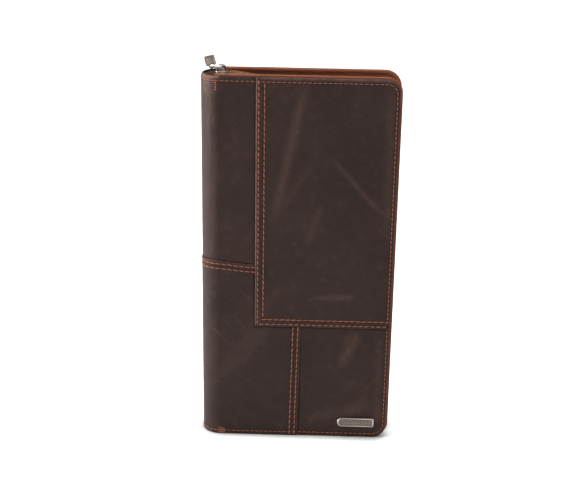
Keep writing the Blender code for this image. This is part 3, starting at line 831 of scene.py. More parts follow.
wrapNodes = {"upper": [["front_upper_side_panel", "spine_upper_front"], ["spine_upper_middle"],
                       ["spine_upper_rear"], ["back_upper_side_panel"]],
             "lower": [["front_lower_side_panel", "spine_lower_front"], ["spine_lower_middle"],
                       ["spine_lower_rear"], ["back_lower_side_panel"]],
             "lining": [["spine_lining_front"], ["spine_lining_middle"], ["spine_lining_rear"], []]}
# the first two marks, at the top of the spine, are a painted highlight; the others are real scuffs
wrapScuffs = [((9.0, caseTop + 1), (9.0, caseTop - 14), 4.0, 0.45),
              ((5.0, caseTop), (12, caseTop), 2.2, 0.5), ((7.5, 248), (4.5, 222), 1.4, 0.25),
              ((9.5, 240), (6.0, 200), 0.9, 0.2), ((3.0, 190), (6.0, 130), 0.9, 0.15)]
for index, section in enumerate(sections):
    low, high = section["low"], section["high"]
    lap = {0: (spineX - seamX,), 3: (spineGirth + seamX - spineX,)}.get(index, ())
    around = gridLines(low, high, (section["crease"], *lap), fine=0.55, coarse=1.6 if lap else 1.5,
                       reach=3.0, edges=(index > 0, index < 3), rim=(0.12,))
    foot = sideSeamZ - lapWidth + 0.3
    outline = outlineOf(low, high, foot, leatherTop, "t")
    heights = gridLines(foot, leatherTop, (sideSeamZ, leatherTop - wrap["topRow"]), fine=0.5, coarse=2.6,
                        edges=(False, True))
    # painted highlight: the spine's top hem is lightened well past its wear
    upper = panelMesh(around, heights, outline, upperTop, upperUnder, placeWrap, [upperRow], warp=topWarp,
                      scuffs=wrapScuffs, wearWidth=2.2, wearAndHighlight=lambda g, z: 0.4 + 3.2 * onSpine(g))
    addWrapPiece(f"upperWrap{section['key']}", upper, "hide",
                 wrapNodes["upper"][index])
    outline = outlineOf(low, high, 0.0, sideSeamZ, "tb")
    keepPart = None
    if index == 0:
        outline = outlineOf(spineX - lowerSeamX, high, 0.0, sideSeamZ, "tbl")
        around = gridLines(spineX - lowerSeamX, low, (spineX - lowerSeamX + 2.2, spineX - lowerSeamX + 5.5),
                           fine=0.5, coarse=2.2, edges=(True, False))[:-1] + around
        keepPart = underFrontPanel
    details = (wrap["footRow"], frontSeamZ, sideSeamZ - 2.2, sideSeamZ - 5.4)
    lower = panelMesh(around, gridLines(0.0, sideSeamZ, details, fine=0.5, coarse=2.4), outline,
                      lowerSideTop, lowerSideUnder, placeWrap,
                      [footRow, *seamRows, *(reachRows if index == 0 else [])], keep=keepPart, warp=leanWarp,
                      scuffs=wrapScuffs)
    addWrapPiece(f"lowerWrap{section['key']}", lower, "hide",
                 wrapNodes["lower"][index])
    addWrapPiece(f"wrapStitches{section['key']}", threads[index].whole(), "thread")
    inLow, inHigh = max(low, 0.2), min(high, spineGirth - 0.2)
    inside = outlineOf(inLow, inHigh, 0.5, leatherTop - 1.2)
    # painted shade: the lining darkens towards the top, inside the spine's hollow
    liner = panelMesh(evenLines(inLow, inHigh, 0.8, False), evenLines(0.5, leatherTop - 1.2, 3.2, False),
                      inside, lambda g, z, gap: 3.35, lambda g, z: 3.95, placeWrap,
                      shade=lambda g, z: smooth(232, 246, z))
    addWrapPiece(f"spineLining{section['key']}", liner, "lining",
                 wrapNodes["lining"][index])
print("wrapped panels made")


# back panel
backCorner = caseCorner - (halfWidth - backHigh.x)
backX, backZ = backHigh.x - 2.9, backHigh.z - 3.0
backRows = [
    [(outerX, backHigh.z - 1.2), (outerX, 1.2)], [(innerX, backZ - 0.6), (innerX, 3.6)],
    [(seamX + 1.0, 3.0), *cornerArc(backX - 7.2, 3.0 + 7.2, 7.2, -90, 0, 8),
     *cornerArc(backX - 7.2, backZ - 7.2, 7.2, 0, 90, 8), (seamX + 1.0, backZ)]]
backOutline = outlineOf(seamX, backHigh.x, 0.0, backHigh.z, "lrbt", {"tr": backCorner, "br": backCorner})
addPiece("backMainPanel", panelMesh(
    gridLines(seamX, backHigh.x, (outerX, innerX, backX), fine=0.5, coarse=2.6),
    gridLines(0.0, backHigh.z, (3.0, backZ), fine=0.5, coarse=2.6), backOutline,
    lambda u, v, gap: rollDrop(gap, mainPanel["roll"], mainPanel["drop"]) + 0.15,
    lambda u, v: lapUnder if u < seamX + lapWidth else leatherUnder, placeBack, backRows,
    scuffs=[((10, 230), (30, 120), 2.5, 0.2), ((0, 60), (45, 40), 3.5, 0.2)]),
    "hide", "back_cover", ["back_main_panel"])
backThread = Pile()
for row in backRows:
    addStitches(backThread, row, placeBack, onMain, length=3.0)
addPiece("backStitches", backThread.whole(), "thread", "back_cover")
addPiece("frontStitches", frontThread.whole(), "thread", "front_cover")
print("back panel and stitches made")


# swept strips and the zip
def frameOf(origin, across, up):
    across, up = Vector(across).normalized(), Vector(up).normalized()
    along = across.cross(up)
    turn = Matrix((across, up, along)).transposed().to_4x4()
    return Matrix.Translation(Vector(origin)) @ turn


def pathFrames(path, up, closed=True):
    # frames whose second axis is up, along a path that may close on itself
    frames = []
    last = len(path) - 1
    for i, at in enumerate(path):
        before = path[i - 1] if closed or i else path[0]
        after = path[(i + 1) % len(path)] if closed else path[min(i + 1, last)]
        way = (after - before).normalized()
        frames.append(frameOf(at, up, way.cross(Vector(up))))
    return frames


def sweep(bm, profile, frames, closed=False):
    # a profile drawn in each frame's own plane, carried from frame to frame
    ring = bmesh.ops.create_circle(bm, cap_ends=True, segments=len(profile), radius=1.0)["verts"]
    for v, (a, b) in zip(ring, profile):
        v.co = frames[0] @ Vector((a, b, 0))
    first = list(ring[0].link_faces)
    last = first[:]
    firstEdges = list(first[0].edges)
    for i, (old, new) in enumerate(zip(frames, frames[1:])):
        made = bmesh.ops.extrude_face_region(bm, geom=last, use_keep_orig=(i == 0))["geom"]
        verts = [item for item in made if isinstance(item, bmesh.types.BMVert)]
        last = [item for item in made if isinstance(item, bmesh.types.BMFace)]
        bmesh.ops.transform(bm, matrix=new @ old.inverted(), verts=verts)
    if closed:
        lastEdges = list(last[0].edges)
        bmesh.ops.delete(bm, geom=first + last, context="FACES_ONLY")
        bmesh.ops.bridge_loops(bm, edges=firstEdges + lastEdges)
    return bm


zipLine = {"web": 4.55, "dip": 2.5, "pitch": 1.5, "toothLong": 1.7, "toothPlace": 1.65, "toothThick": 0.88,
           "toothWide": 0.44, "from": -46.9}


def webRise(x, z):
    # on the top run the teeth climb towards the parked slider
    return zipLine["dip"] * (1 - smooth(-44, -22, x)) if z > caseTop - 8 else 0.0


def zipPath(step):
    # points and inward directions along top, free side and bottom
    path = []
    straight = halfWidth - caseCorner
    foot = footGap
    runs = int((straight - spineX - 0.15) / step)
    for i in range(runs + 1):
        path.append((spineX + 0.15 + (straight - spineX - 0.15) * i / runs, caseTop, 0.0, -1.0))
    bend = max(6, int(math.pi / 2 * caseCorner / step))
    for i in range(1, bend + 1):
        a = math.radians(90 - 90 * i / bend)
        path.append((straight + caseCorner * math.cos(a), caseTop - caseCorner + caseCorner * math.sin(a),
                     -math.cos(a), -math.sin(a)))
    drop = caseTop - foot - 2 * caseCorner
    side = int(drop / step)
    for i in range(1, side + 1):
        path.append((halfWidth, caseTop - caseCorner - drop * i / side, -1.0, 0.0))
    for i in range(1, bend + 1):
        a = math.radians(-90 * i / bend)
        path.append((straight + caseCorner * math.cos(a), foot + caseCorner + caseCorner * math.sin(a),
                     -math.cos(a), -math.sin(a)))
    for i in range(1, runs + 1):
        path.append((straight - (straight - spineX - 0.15) * i / runs, foot, 0.0, 1.0))
    return path


tapeProfile = [(0.45, 9.6), (0.08, 9.25), (0.0, 8.4), (0.1, 7.6), (0.5, 7.1), (1.2, 7.0), (1.8, 7.2),
               (2.1, 7.7), (2.2, 8.5), (3.2, 8.7), (zipLine["web"], 8.6), (zipLine["web"], 6.85),
               (zipLine["web"], 5.0), (zipLine["web"], 3.35), (zipLine["web"] + 0.6, 3.35),
               (zipLine["web"] + 0.6, 5.0), (zipLine["web"] + 0.6, 6.85), (5.5, 8.6), (5.5, 9.6), (2.4, 9.6)]
# the two ends of the tape are open, so this outline's left side lies far away
tapeOutline = outlineOf(-500.0, halfWidth, footGap, caseTop, "rbt", {"tr": caseCorner, "br": caseCorner})
for side, body, node in ((-1, "front_cover", "front"), (1, "back_cover", "back")):
    bm = bmesh.new()
    frames = [frameOf((x, 0, z), (nx, 0, nz), (0, side, 0)) for x, z, nx, nz in zipPath(2.2)]
    sweep(bm, tapeProfile, frames)
    shade = bm.verts.layers.float.new("seam")
    for v in bm.verts:
        gap = rimGap(tapeOutline, v.co.x, v.co.z)
        if gap > 4.4 and abs(v.co.y) < 6.9:
            v.co.z += webRise(v.co.x, v.co.z)
        if side < 0 and v.co.z > caseTop - 3 and abs(v.co.y) > 6.9:
            v.co.z -= 0.45 * (1 - smooth(0.5, 3, gap)) * (1 - smooth(56, 62, v.co.x))
        # painted shade: the groove between the two lips, darkest near the slider and fading to the right
        dark = max(0.1 + 0.3 * smooth(-40, -24, v.co.x) - 0.35 * smooth(0, 40, v.co.x),
                   1 - smooth(-47, -45, v.co.x))
        # painted shade also on the back lip's outer edge where the leather turns over it, on the tape left
        # of the slider, and low on the right-side lip
        edge = 0.85 * smooth(8.6, 9.2, v.co.y)
        left = 0.95 * smooth(-53, -56, v.co.x) * smooth(0.9, 1.6, gap)
        down = 0.5 * smooth(caseTop - 8, caseTop - 24, v.co.z) if v.co.x > 50 else 0.0
        v[shade] = max(edge, smooth(1.3, 2.4, gap) * dark, left, down)
    addPiece(f"{node}Tape", bm, "tape", body, [f"{node}_zip_tape"])
    teeth = Pile()
    for x, z, nx, nz in zipPath(zipLine["pitch"]):
        if x < zipLine["from"] and z > caseTop - 8:
            continue
        deep = zipLine["web"] + 0.3  # the teeth sit on the middle of the tape's thickness
        centre = Vector((x + nx * deep, side * zipLine["toothPlace"], z + nz * deep + webRise(x, z)))
        along = Vector((-nz, 0, nx))
        centre += along * (zipLine["pitch"] / 4 * side)
        radii = (zipLine["toothWide"], zipLine["toothLong"], zipLine["toothThick"])
        addDome(teeth.take(), centre, radii, (along, (0, 1, 0), (nx, 0, nz)), 8, 6)
    addPiece(f"{node}Coil", teeth.whole(), "coil", body, [f"{node}_zip_coil"])

# the tape's lip runs a little way round the spine at both ends
lipReach = 3.5
for top, height in ((True, caseTop - 0.4), (False, footGap)):
    for index, g0, g1 in ((0, -0.3, lipReach), (3, spineGirth - lipReach, spineGirth + 0.3)):
        bm = bmesh.new()
        frames = []
        for i in range(9):
            g = g0 + (g1 - g0) * i / 8
            at, out = placeWrap(g, height, 0), placeWrap(g, height, 0) - placeWrap(g, height, 1)
            frames.append(frameOf(at, out, (0, 0, 1 if top else -1)))
        lip = [(-2.5, -0.45), (-2.75, -0.08), (-3.6, 0.0), (-4.5, -0.1), (-4.9, -0.5), (-4.9, -2.0),
               (-3.6, -2.4), (-2.5, -2.2)]
        sweep(bm, lip, frames)
        name = f"lipEnd{'Top' if top else 'Bottom'}{'Front' if index == 0 else 'Back'}"
        addWrapPiece(name, bm, "tape")

for name, node in (("Top", "zip_end_top"), ("Bottom", "zip_end_bottom")):
    low, high = nodeBox(node)
    upper = high.z
    outline = outlineOf(low.x, high.x, low.y, high.y, "lrbt", {"tl": 2.2, "bl": 2.2})
    # painted shade: the zip ends are darkened all over, as lying in the spine's hollow
    bm = panelMesh(gridLines(low.x, high.x, (), 0.8, 0.8), gridLines(low.y, high.y, (), 0.8, 0.8), outline,
                   lambda u, v, gap: rollDrop(gap, 0.4, 0.3), lambda u, v: high.z - low.z,
                   lambda u, v, level: Vector((u, v, upper - level)), wearWidth=0.1, valley=0.0,
                   shade=lambda u, v: 1.0)
    addPiece(f"zipEnd{name}", bm, "tape", "back_cover", [node])
print("zip made")


# metal
def addBlock(bm, low, high, bevel):
    low, high = Vector(low), Vector(high)
    place = Matrix.Translation((low + high) / 2) @ Matrix.Diagonal((*(high - low), 1))
    made = bmesh.ops.create_cube(bm, size=1.0, matrix=place)
    edges = list({e for v in made["verts"] for e in v.link_edges})
    bmesh.ops.bevel(bm, geom=edges, offset=bevel, segments=2, profile=0.5, affect="EDGES", material=-1)


def addPlate(bm, outline, low, high, bevel, lift=None):
    # outline points in the plate's own plane; lift maps (a, b, height) to the frame
    lift = lift or (lambda a, b, h: Vector((a, b, h)))
    ring = bmesh.ops.create_circle(bm, cap_ends=True, segments=len(outline), radius=1.0)["verts"]
    for v, (a, b) in zip(ring, outline):
        v.co = (a, b, low)
    face = list(ring[0].link_faces)
    made = bmesh.ops.extrude_face_region(bm, geom=face, use_keep_orig=True)["geom"]
    bmesh.ops.translate(bm, vec=(0, 0, high - low),
                        verts=[v for v in made if isinstance(v, bmesh.types.BMVert)])
    verts = set(ring) | {v for v in made if isinstance(v, bmesh.types.BMVert)}
    rims = [e for e in {e for v in verts for e in v.link_edges}
            if abs(e.verts[0].co.z - e.verts[1].co.z) < 1e-6]
    got = bmesh.ops.bevel(bm, geom=rims, offset=bevel, segments=3, profile=0.5, affect="EDGES", material=-1)
    island = {v for v in bm.verts if v.is_valid and (v in verts or v in set(got["verts"]))}
    for v in island:
        v.co = lift(*v.co)
    return island


sliderLow, sliderHigh = nodeBox("zip_slider")
slide = {"plateTop": 253.6, "channelTop": 252.45, "channelLow": 249.05, "wideEnd": 4.15,
         "tailEnd": 3.3, "crown": (-53.5, -47.5), "crownWidth": 2.9, "bridgeTop": 255.2,
         "wall": (3.25, 4.0), "walls": ((251.85, 252.7), (248.8, 249.7))}
middle = (sliderLow.x + sliderHigh.x) / 2
half = (sliderHigh.x - sliderLow.x) / 2
shield = []
for i in range(36):
    t = 2 * math.pi * i / 36
    a = math.copysign(abs(math.cos(t)) ** 0.55, math.cos(t))
    b = math.copysign(abs(math.sin(t)) ** 0.55, math.sin(t))
    wide = slide["tailEnd"] + (slide["wideEnd"] - slide["tailEnd"]) * (0.5 - 0.5 * a)
    shield.append((middle + half * a, wide * b))
body = bmesh.new()
addPlate(body, shield, slide["channelTop"], slide["plateTop"], 0.28)
addPlate(body, shield, sliderLow.z, slide["channelLow"], 0.2)
for side in (-1, 1):
    y0, y1 = sorted(side * y for y in slide["wall"])
    for z0, z1 in slide["walls"]:
        addBlock(body, (middle - 2.6, y0, z0), (middle + 2.4, y1, z1), 0.14)
addBlock(body, (sliderLow.x + 0.5, -0.55, slide["channelLow"] - 0.2),
         (sliderLow.x + 2.3, 0.55, slide["channelTop"] + 0.2), 0.2)
addBlock(body, (-52.7, -1.1, slide["plateTop"] - 0.3), (-48.3, 1.1, slide["bridgeTop"]), 0.25)
crownFrames = []
c0, c1 = slide["crown"]
cm, ch = (c0 + c1) / 2, (c1 - c0) / 2 - 0.45
crownRise = sliderHigh.z - 0.5 - slide["plateTop"] + 0.35
for i in range(19):
    t = math.pi * i / 18
    a, b = math.copysign(abs(math.cos(t)) ** 0.7, math.cos(t)), abs(math.sin(t)) ** 0.7
    at = Vector((cm + ch * a, 0, slide["plateTop"] - 0.35 + crownRise * b))
    crownFrames.append(at)
spots = []
for i, at in enumerate(crownFrames):
    along = (crownFrames[min(i + 1, 18)] - crownFrames[max(i - 1, 0)]).normalized()
    spots.append(frameOf(at, (0, 1, 0), Vector((0, 1, 0)).cross(along) * -1))
w = slide["crownWidth"] / 2
bar = [(-w, -0.4), (-w + 0.25, -0.6), (0, -0.62), (w - 0.25, -0.6), (w, -0.4), (w, 0.3), (w - 0.3, 0.46),
       (0, 0.5), (-w + 0.3, 0.46), (-w, 0.3)]
sweep(body, bar, spots)
addPiece("sliderBody", body, "sliderMetal", "slider", ["zip_slider"], sharp=50)

linkAt, tabAt = jointAt["link_flip"], jointAt["tab_swing"]
reachLine = tabAt - linkAt
along = reachLine.normalized()
link = {"wire": 0.68, "inner": 3.4, "bend": 1.1, "twist": 24.0}
across = Matrix.Rotation(math.radians(link["twist"]), 3, along) @ Vector((0, 1, 0))
path = []
hy = link["inner"] / 2 + link["wire"]
for s, y in ((reachLine.length, hy), (0, hy), (0, -hy), (reachLine.length, -hy)):
    cs = s - link["bend"] if s > 0 else s + link["bend"]
    cy = y - link["bend"] if y > 0 else y + link["bend"]
    begin = {(True, True): 0, (False, True): 90, (False, False): 180, (True, False): 270}[(s > 0, y > 0)]
    for i in range(7):
        a = math.radians(begin + 90 * i / 6)
        s1, y1 = cs + link["bend"] * math.cos(a), cy + link["bend"] * math.sin(a)
        path.append(linkAt + along * s1 + across * y1)
frames = pathFrames(path, along.cross(across))
bm = bmesh.new()
sweep(bm, ovalPoints(12, link["wire"]), frames, closed=True)
addPiece("linkWire", bm, "wire", "pull_link", ["pull_link"], sharp=60)

# flat tab, drawn in its own plane: a across, b up from the eye
tab = {"width": 6.6, "low": 0.3, "high": 6.8, "thick": 1.4, "corner": 0.75, "eyeOut": 1.7, "eyeIn": 0.85,
       "tilt": 75.0, "field": 0.45, "rimIn": 0.42, "flower": 4.3, "petal": 1.05}
lean = math.radians(tab["tilt"])
tabUp = Vector((-math.cos(lean), 0, math.sin(lean)))
tabSide = Vector((math.sin(lean), 0, math.cos(lean)))


def tabPoint(a, b, h):
    return tabAt + tabSide * a + tabUp * b - Vector((0, h, 0))


bm = bmesh.new()
tw, tc = tab["width"] / 2, tab["corner"]
midB = (tab["low"] + tab["high"]) / 2
addPlate(bm, roundBox(-tw, tw, tab["low"], tab["high"], tc, 3), -tab["field"], tab["field"], 0.16, tabPoint)
for side in (-1, 1):
    rimPath = []
    for a, b in roundBox(-tw, tw, tab["low"], tab["high"], tc, 4):
        inA, inB = 1 - tab["rimIn"] / tw, 1 - tab["rimIn"] / (midB - tab["low"])
        rimPath.append(tabPoint(a * inA, midB + (b - midB) * inB, side * 0.44))
    sweep(bm, ovalPoints(8, 0.26, 0.36), pathFrames(rimPath, (0, -side, 0)), closed=True)
    # quatrefoil of four low domes round a button
    for turn in range(4):
        a = math.radians(45 + 90 * turn)
        at = tabPoint(tab["petal"] * math.cos(a), tab["flower"] + tab["petal"] * math.sin(a), side * 0.42)
        addDome(bm, at, (0.66, 0.16, 0.66))
    addDome(bm, tabPoint(0, tab["flower"], side * 0.44), (0.5, 0.2, 0.5))
eyeRing = []
er = (tab["eyeOut"] + tab["eyeIn"]) / 2
for i in range(24):
    a = 2 * math.pi * i / 24
    eyeRing.append(frameOf(tabPoint(er * math.cos(a), er * math.sin(a), 0),
                           tabSide * math.cos(a) + tabUp * math.sin(a), (0, 1, 0)))
ew, et = (tab["eyeOut"] - tab["eyeIn"]) / 2, tab["thick"] / 2
eyeShape = [(0.9, -0.7), (0.9, 0.7), (0.6, 1.0), (-0.6, 1.0), (-1.0, 0.6), (-1.0, -0.6), (-0.6, -1.0),
            (0.6, -1.0)]
sweep(bm, [(ew * a, et * b) for a, b in eyeShape], eyeRing, closed=True)
hollow_and_shade = bm.verts.layers.float.new("hollow_and_shade")
for v in bm.verts:
    flat = (v.co - tabAt).dot(tabUp) > tab["low"] + 0.7 and abs(v.co.y) < 0.5
    v[hollow_and_shade] = 0.3 if flat else 0.1
addPiece("tabPlate", bm, "tabMetal", "pull_tab", ["pull_tab"], sharp=50)

plateLow, plateHigh = nodeBox("nameplate")
nameplate = {"rim": 0.75, "posts": 16.0, "postRadius": 0.8, "back": -11.5, "high": 0.62}
underY = nameplate["back"]
pr = (plateHigh.z - plateLow.z) / 2
pz = (plateHigh.z + plateLow.z) / 2


def plateEdge(corner, r, endRadius, steps=20):
    # square at the right, half a circle at the left
    return [*cornerArc(plateHigh.x - corner, plateLow.z + corner, r, -90, 0, 4),
            *cornerArc(plateHigh.x - corner, plateHigh.z - corner, r, 0, 90, 4),
            *cornerArc(plateLow.x + pr, pz, endRadius, 90, 270, steps)]


def platePoint(a, b, h):
    return Vector((a, underY - h, b))


bm = bmesh.new()
addPlate(bm, plateEdge(0.7, 0.7, pr), 0.0, nameplate["high"], 0.18, platePoint)
fieldMesh = bmesh.new()
addPlate(fieldMesh, plateEdge(1.3, 0.5, pr - 0.8), 0.3, nameplate["high"] + 0.06, 0.02, platePoint)
addPiece("nameplateField", fieldMesh, "plateField", "front_cover", sharp=35)
cx = (plateLow.x + plateHigh.x) / 2
inset = nameplate["rim"] / 2
rimPath = [platePoint(a, b, nameplate["high"]) for a, b in plateEdge(1.1, 1.1 - inset, pr - inset, 24)]
rimMesh = bmesh.new()
rimProfile = [(0.42, -0.14), (0.42, 0.16), (0.2, 0.42), (-0.3, 0.44), (-0.3, -0.44), (0.2, -0.42)]
sweep(rimMesh, rimProfile, pathFrames(rimPath, (0, -1, 0)), closed=True)
hollow_and_shade = rimMesh.verts.layers.float.new("hollow_and_shade")
# painted highlight: the rim is darkened towards the middle and left bright at both ends
for v in rimMesh.verts:
    v[hollow_and_shade] = 0.55 * smooth(7.2, 8.6, abs(abs(v.co.x - cx) - (plateHigh.x - plateLow.x) / 2) + 6.0)
addPiece("nameplateRim", rimMesh, "sliderMetal", "front_cover", sharp=25)
ornament = bmesh.new()
weave = {"from": cx - 9.4, "reach": 19.2, "swing": 1.15, "wave": 4.8, "strand": 0.3}
for side in (-1, 1):
    strand = []
    for i in range(97):
        t = weave["reach"] * i / 96
        turn = 2 * math.pi * t / weave["wave"]
        strand.append(Vector((weave["from"] + t, underY - 0.72 - 0.12 * side * math.cos(turn),
                              pz + side * weave["swing"] * math.sin(turn))))
    sweep(ornament, ovalPoints(6, weave["strand"]), pathFrames(strand, (0, -1, 0), closed=False))
addPiece("nameplateOrnament", ornament, "nickel", "front_cover", sharp=35)
for side in (-1, 1):
    at = Vector((cx + side * nameplate["posts"] / 2, (underY - 8.4) / 2 + 0.1, pz))
    radius = nameplate["postRadius"]
    bmesh.ops.create_cone(bm, segments=20, radius1=radius, radius2=radius, depth=3.1, cap_ends=True,
                          matrix=Matrix.Translation(at) @ Matrix.Rotation(math.radians(90), 4, "X"))
addPiece("nameplateMetal", bm, "nickel", "front_cover", ["nameplate"], sharp=35)
print("metal made")

# inside
insideThread = {"front_cover": Pile(), "back_cover": Pile()}


def addLayer(name, node, side, material, corners, rows=(), hem=None, deep=0.35):
    # a flat sewn layer on one cover's inside; its shown face looks towards the other cover
    low, high = nodeBox(node)
    body = "front_cover" if side < 0 else "back_cover"
    shown, hidden = (high.y, low.y) if side < 0 else (low.y, high.y)
    outline = outlineOf(low.x, high.x, low.z, high.z, "lrbt", corners)
    thick = abs(shown - hidden)

    def layerPlace(u, v, level):
        return Vector((u, shown + side * level, v))

    def top(u, v, gap):
        raised = -0.1 * smooth(hem - 0.3, hem + 0.3, v) if hem else 0.0
        return rollDrop(gap, 0.6, min(deep, thick * 0.6)) + 0.12 + raised

    details = [v for row in rows for (a, v) in row]
    sides = [a for row in rows for (a, v) in row]
    bm = panelMesh(gridLines(low.x, high.x, sides, 0.6, 4.0), gridLines(low.z, high.z, details, 0.6, 4.0),
                   outline, top, lambda u, v: thick, layerPlace, rows, wearWidth=0.8, valley=0.12)
    addPiece(name, bm, material, body, [node])
    for row in rows:
        addStitches(insideThread[body], row, layerPlace, lambda u, v: 0.16, **insideStitch)


def frameRow(low, high, inset, openTop=True):
    left, right, upper = low.x + inset, high.x - inset, high.z - (0.8 if openTop else inset)
    return [(left, upper), (left, low.z + inset), (right, low.z + inset), (right, upper)]


pocketCorners = {key: 2.2 for key in ("tr", "br", "tl", "bl")}
for side, node, name in ((-1, "front_lining", "frontLining"), (1, "back_lining", "backLining")):
    addLayer(name, node, side, "lining", {"tr": 5.0, "br": 5.0}, deep=0.3)
pockets = [(1, "ticket_pocket"), (1, "passport_pocket"), (-1, "slip_pocket")]
for side, node in pockets + [(-1, f"card_pocket_{i}") for i in (1, 2, 3)]:
    low, high = nodeBox(node)
    parts = node.split("_")
    rows = [frameRow(low, high, 1.7), [(low.x + 1.7, high.z - 2.2), (high.x - 1.7, high.z - 2.2)]]
    addLayer(parts[0] + "Pocket" + "".join(parts[2:]), node, side, "pocket", pocketCorners,
             rows, high.z - 4.4)

# window frame: leather with a rectangular opening, and film behind it
low, high = nodeBox("window_frame")
filmLow, filmHigh = nodeBox("window_film")
opening = (filmLow.x + 3.0, filmHigh.x - 3.0, filmLow.z + 3.0, filmHigh.z - 3.0)
xs = sorted(gridLines(low.x, opening[0], (low.x + 1.7, opening[0] - 1.6), 0.6, 2.0)
            + gridLines(opening[1], high.x, (high.x - 1.7, opening[1] + 1.6), 0.6, 2.0)
            + evenLines(opening[0] + 4, opening[1] - 4, 4.0, False))
zs = sorted(gridLines(low.z, opening[2], (low.z + 1.7,), 0.6, 2.0)
            + gridLines(opening[3], high.z, (high.z - 1.7,), 0.6, 2.0)
            + evenLines(opening[2] + 4, opening[3] - 4, 4.0, False))
faceY, backY = high.y, low.y


def framePlace(u, v, level):
    return Vector((u, faceY - level, v))


def openingGap(u, v):
    du = max(opening[0] - u, u - opening[1])
    dv = max(opening[2] - v, v - opening[3])
    return max(du, dv)


u0, u1, v0, v1 = opening[0] - 1.6, opening[1] + 1.6, opening[2] - 1.6, opening[3] + 1.6
rows = [frameRow(low, high, 1.7, False) + [(low.x + 1.7, high.z - 1.7)],
        [(u0, v1), (u0, v0), (u1, v0), (u1, v1), (u0, v1)]]
outline = outlineOf(low.x, high.x, low.z, high.z, "lrbt", pocketCorners)
addPiece("windowFrame", panelMesh(
    xs, zs, outline, lambda u, v, gap: rollDrop(min(gap, max(0.0, openingGap(u, v))), 0.6, 0.35) + 0.12,
    lambda u, v: faceY - backY, framePlace, rows,
    keep=lambda u, v: openingGap(u, v) > 0, wearWidth=0.8, valley=0.1),
    "pocket", "front_cover", ["window_frame"])
for row in rows:
    addStitches(insideThread["front_cover"], row, framePlace, lambda u, v: 0.16, **insideStitch)
outline = outlineOf(filmLow.x, filmHigh.x, filmLow.z, filmHigh.z)
film = panelMesh(evenLines(filmLow.x, filmHigh.x, 3.0, False), evenLines(filmLow.z, filmHigh.z, 3.0, False),
                 outline, lambda u, v, gap: 0.03, lambda u, v: filmHigh.y - filmLow.y,
                 lambda u, v, level: Vector((u, filmHigh.y - level, v)))
addPiece("windowFilm", film, "film", "front_cover", ["window_film"])

# pen loop: a leather strip round a pen, its ends sewn to the back lining
low, high = nodeBox("pen_loop")
loopX, loopY = (low.x + high.x) / 2, (low.y + high.y) / 2
ra, rb = (high.x - low.x) / 2, (high.y - low.y) / 2
bm = bmesh.new()
ringFrames = []
for i in range(48):
    a = 2 * math.pi * i / 48
    spot = Vector((loopX + (ra - 0.42) * math.cos(a), loopY + (rb - 0.42) * math.sin(a), 0))
    ringFrames.append((spot, Vector((math.cos(a) / ra, math.sin(a) / rb, 0)).normalized()))
strip = [(-0.4, low.z + 0.5), (-0.4, high.z - 0.5), (-0.25, high.z - 0.1), (0.0, high.z),
         (0.3, high.z - 0.25), (0.4, high.z - 0.7), (0.4, (low.z + high.z) / 2), (0.4, low.z + 0.7),
         (0.3, low.z + 0.25), (0.0, low.z), (-0.25, low.z + 0.1)]
sweep(bm, strip, [frameOf(at, out, (0, 0, 1)) for at, out in ringFrames], closed=True)
for key in ("wear", "seam", "scuff_and_highlight"):
    bm.verts.layers.float.new(key)
addPiece("penLoop", bm, "pocket", "back_cover", ["pen_loop"])
for body, pile in insideThread.items():
    addPiece("insideStitches" + body.split("_")[0].title(), pile.whole(), "thread", body)
print("inside made")

# the boards and washers keep their CAD shape
for node, key in (("front_board", "card"), ("back_board", "card"), ("nameplate_washer_left", "nickel"),
                  ("nameplate_washer_right", "nickel")):
    mesh = frame["nodes"][node].data
    mesh.materials.clear()
    mesh.materials.append(finish[key])

# studio
floorMesh = bpy.data.meshes.new("floor")
bm = bmesh.new()
bmesh.ops.create_grid(bm, x_segments=1, y_segments=1, size=4.0)
bm.to_mesh(floorMesh)
bm.free()
floor = bpy.data.objects.new("floor", floorMesh)
bpy.context.scene.collection.objects.link(floor)
paper, tree, shader = startMaterial("paper", Roughness=0.9, Specular_IOR_Level=0.1,
                                    Emission_Color=(1, 1, 1, 1))[:3]
# painted contact shadow: the floor's colour and glow fall off near the case
paintedContactShadow = addNode(tree, "ShaderNodeAmbientOcclusion", {"Distance": 10 * mm}, samples=8).outputs["AO"]
paintedContactShadow = calc(tree, "POWER", paintedContactShadow, 2.0)
tree.links.new(times(tree, paintedContactShadow, 0.47), shader.inputs["Emission Strength"])
tree.links.new(blendColour(tree, paintedContactShadow, (0.12, 0.12, 0.12, 1), (0.82, 0.82, 0.82, 1)),
               shader.inputs["Base Color"])
floorMesh.materials.append(paper)

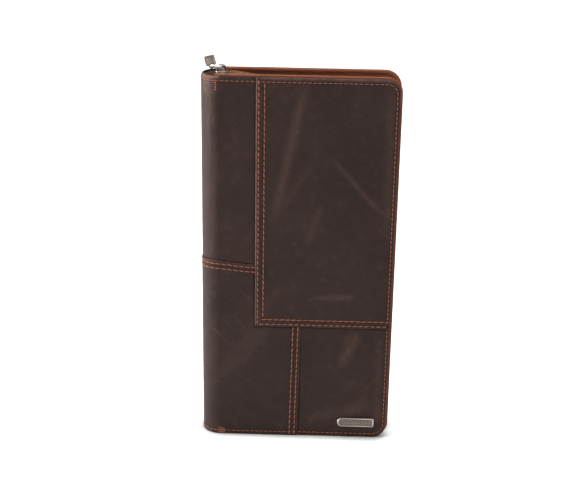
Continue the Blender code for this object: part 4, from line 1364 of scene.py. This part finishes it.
world = bpy.data.worlds.new("studio")
bpy.context.scene.world = world
world.use_nodes = True
tree = world.node_tree
back = tree.nodes["Background"]
seen = addNode(tree, "ShaderNodeLightPath").outputs["Is Camera Ray"]
glow = addNode(tree, "ShaderNodeMapRange", {"Value": seen, "To Min": 0.22, "To Max": 1.0}).outputs[0]
tree.links.new(glow, back.inputs["Strength"])
back.inputs["Color"].default_value = (1, 1, 1, 1)

lamps = {"leftSoftbox": ((-0.95, -0.12, 0.34), 0.55, 0.9, 30.0),
         "topSoftbox": ((0.0, 0.25, 2.1), 2.6, 2.2, 46.0), "frontFill": ((0.5, -1.2, 0.9), 0.9, 0.9, 5.0)}
for name, (at, width, height, power) in lamps.items():
    lamp = bpy.data.lights.new(name, "AREA")
    lamp.shape = "RECTANGLE"
    lamp.size, lamp.size_y, lamp.energy = width, height, power
    obj = bpy.data.objects.new(name, lamp)
    obj.location = at
    obj.rotation_euler = (Vector((0.0, 0.0, 0.13)) - Vector(at)).to_track_quat("-Z", "Y").to_euler()
    bpy.context.scene.collection.objects.link(obj)

lens = {"length": 81.75, "pitch": 21.735, "yaw": 1.300, "roll": 0.939, "place": (12.7, -808.9, 455.7)}
pitch, yaw, roll = (math.radians(lens[k]) for k in ("pitch", "yaw", "roll"))
ahead = Vector((-math.sin(yaw) * math.cos(pitch), math.cos(yaw) * math.cos(pitch), -math.sin(pitch)))
right = Vector((math.cos(yaw), math.sin(yaw), 0))
up = right.cross(ahead)
right, up = right * math.cos(roll) + up * math.sin(roll), up * math.cos(roll) - right * math.sin(roll)
camera = bpy.data.objects.new("camera", bpy.data.cameras.new("camera"))
turn = Matrix((right, up, -ahead)).transposed().to_4x4()
camera.matrix_world = Matrix.Translation(Vector(lens["place"]) * mm) @ turn
camera.data.lens, camera.data.sensor_width, camera.data.clip_start = lens["length"], 36.0, 0.01
bpy.context.scene.collection.objects.link(camera)
bpy.context.scene.camera = camera
bpy.context.scene.view_settings.view_transform = "Standard"
print("studio made")
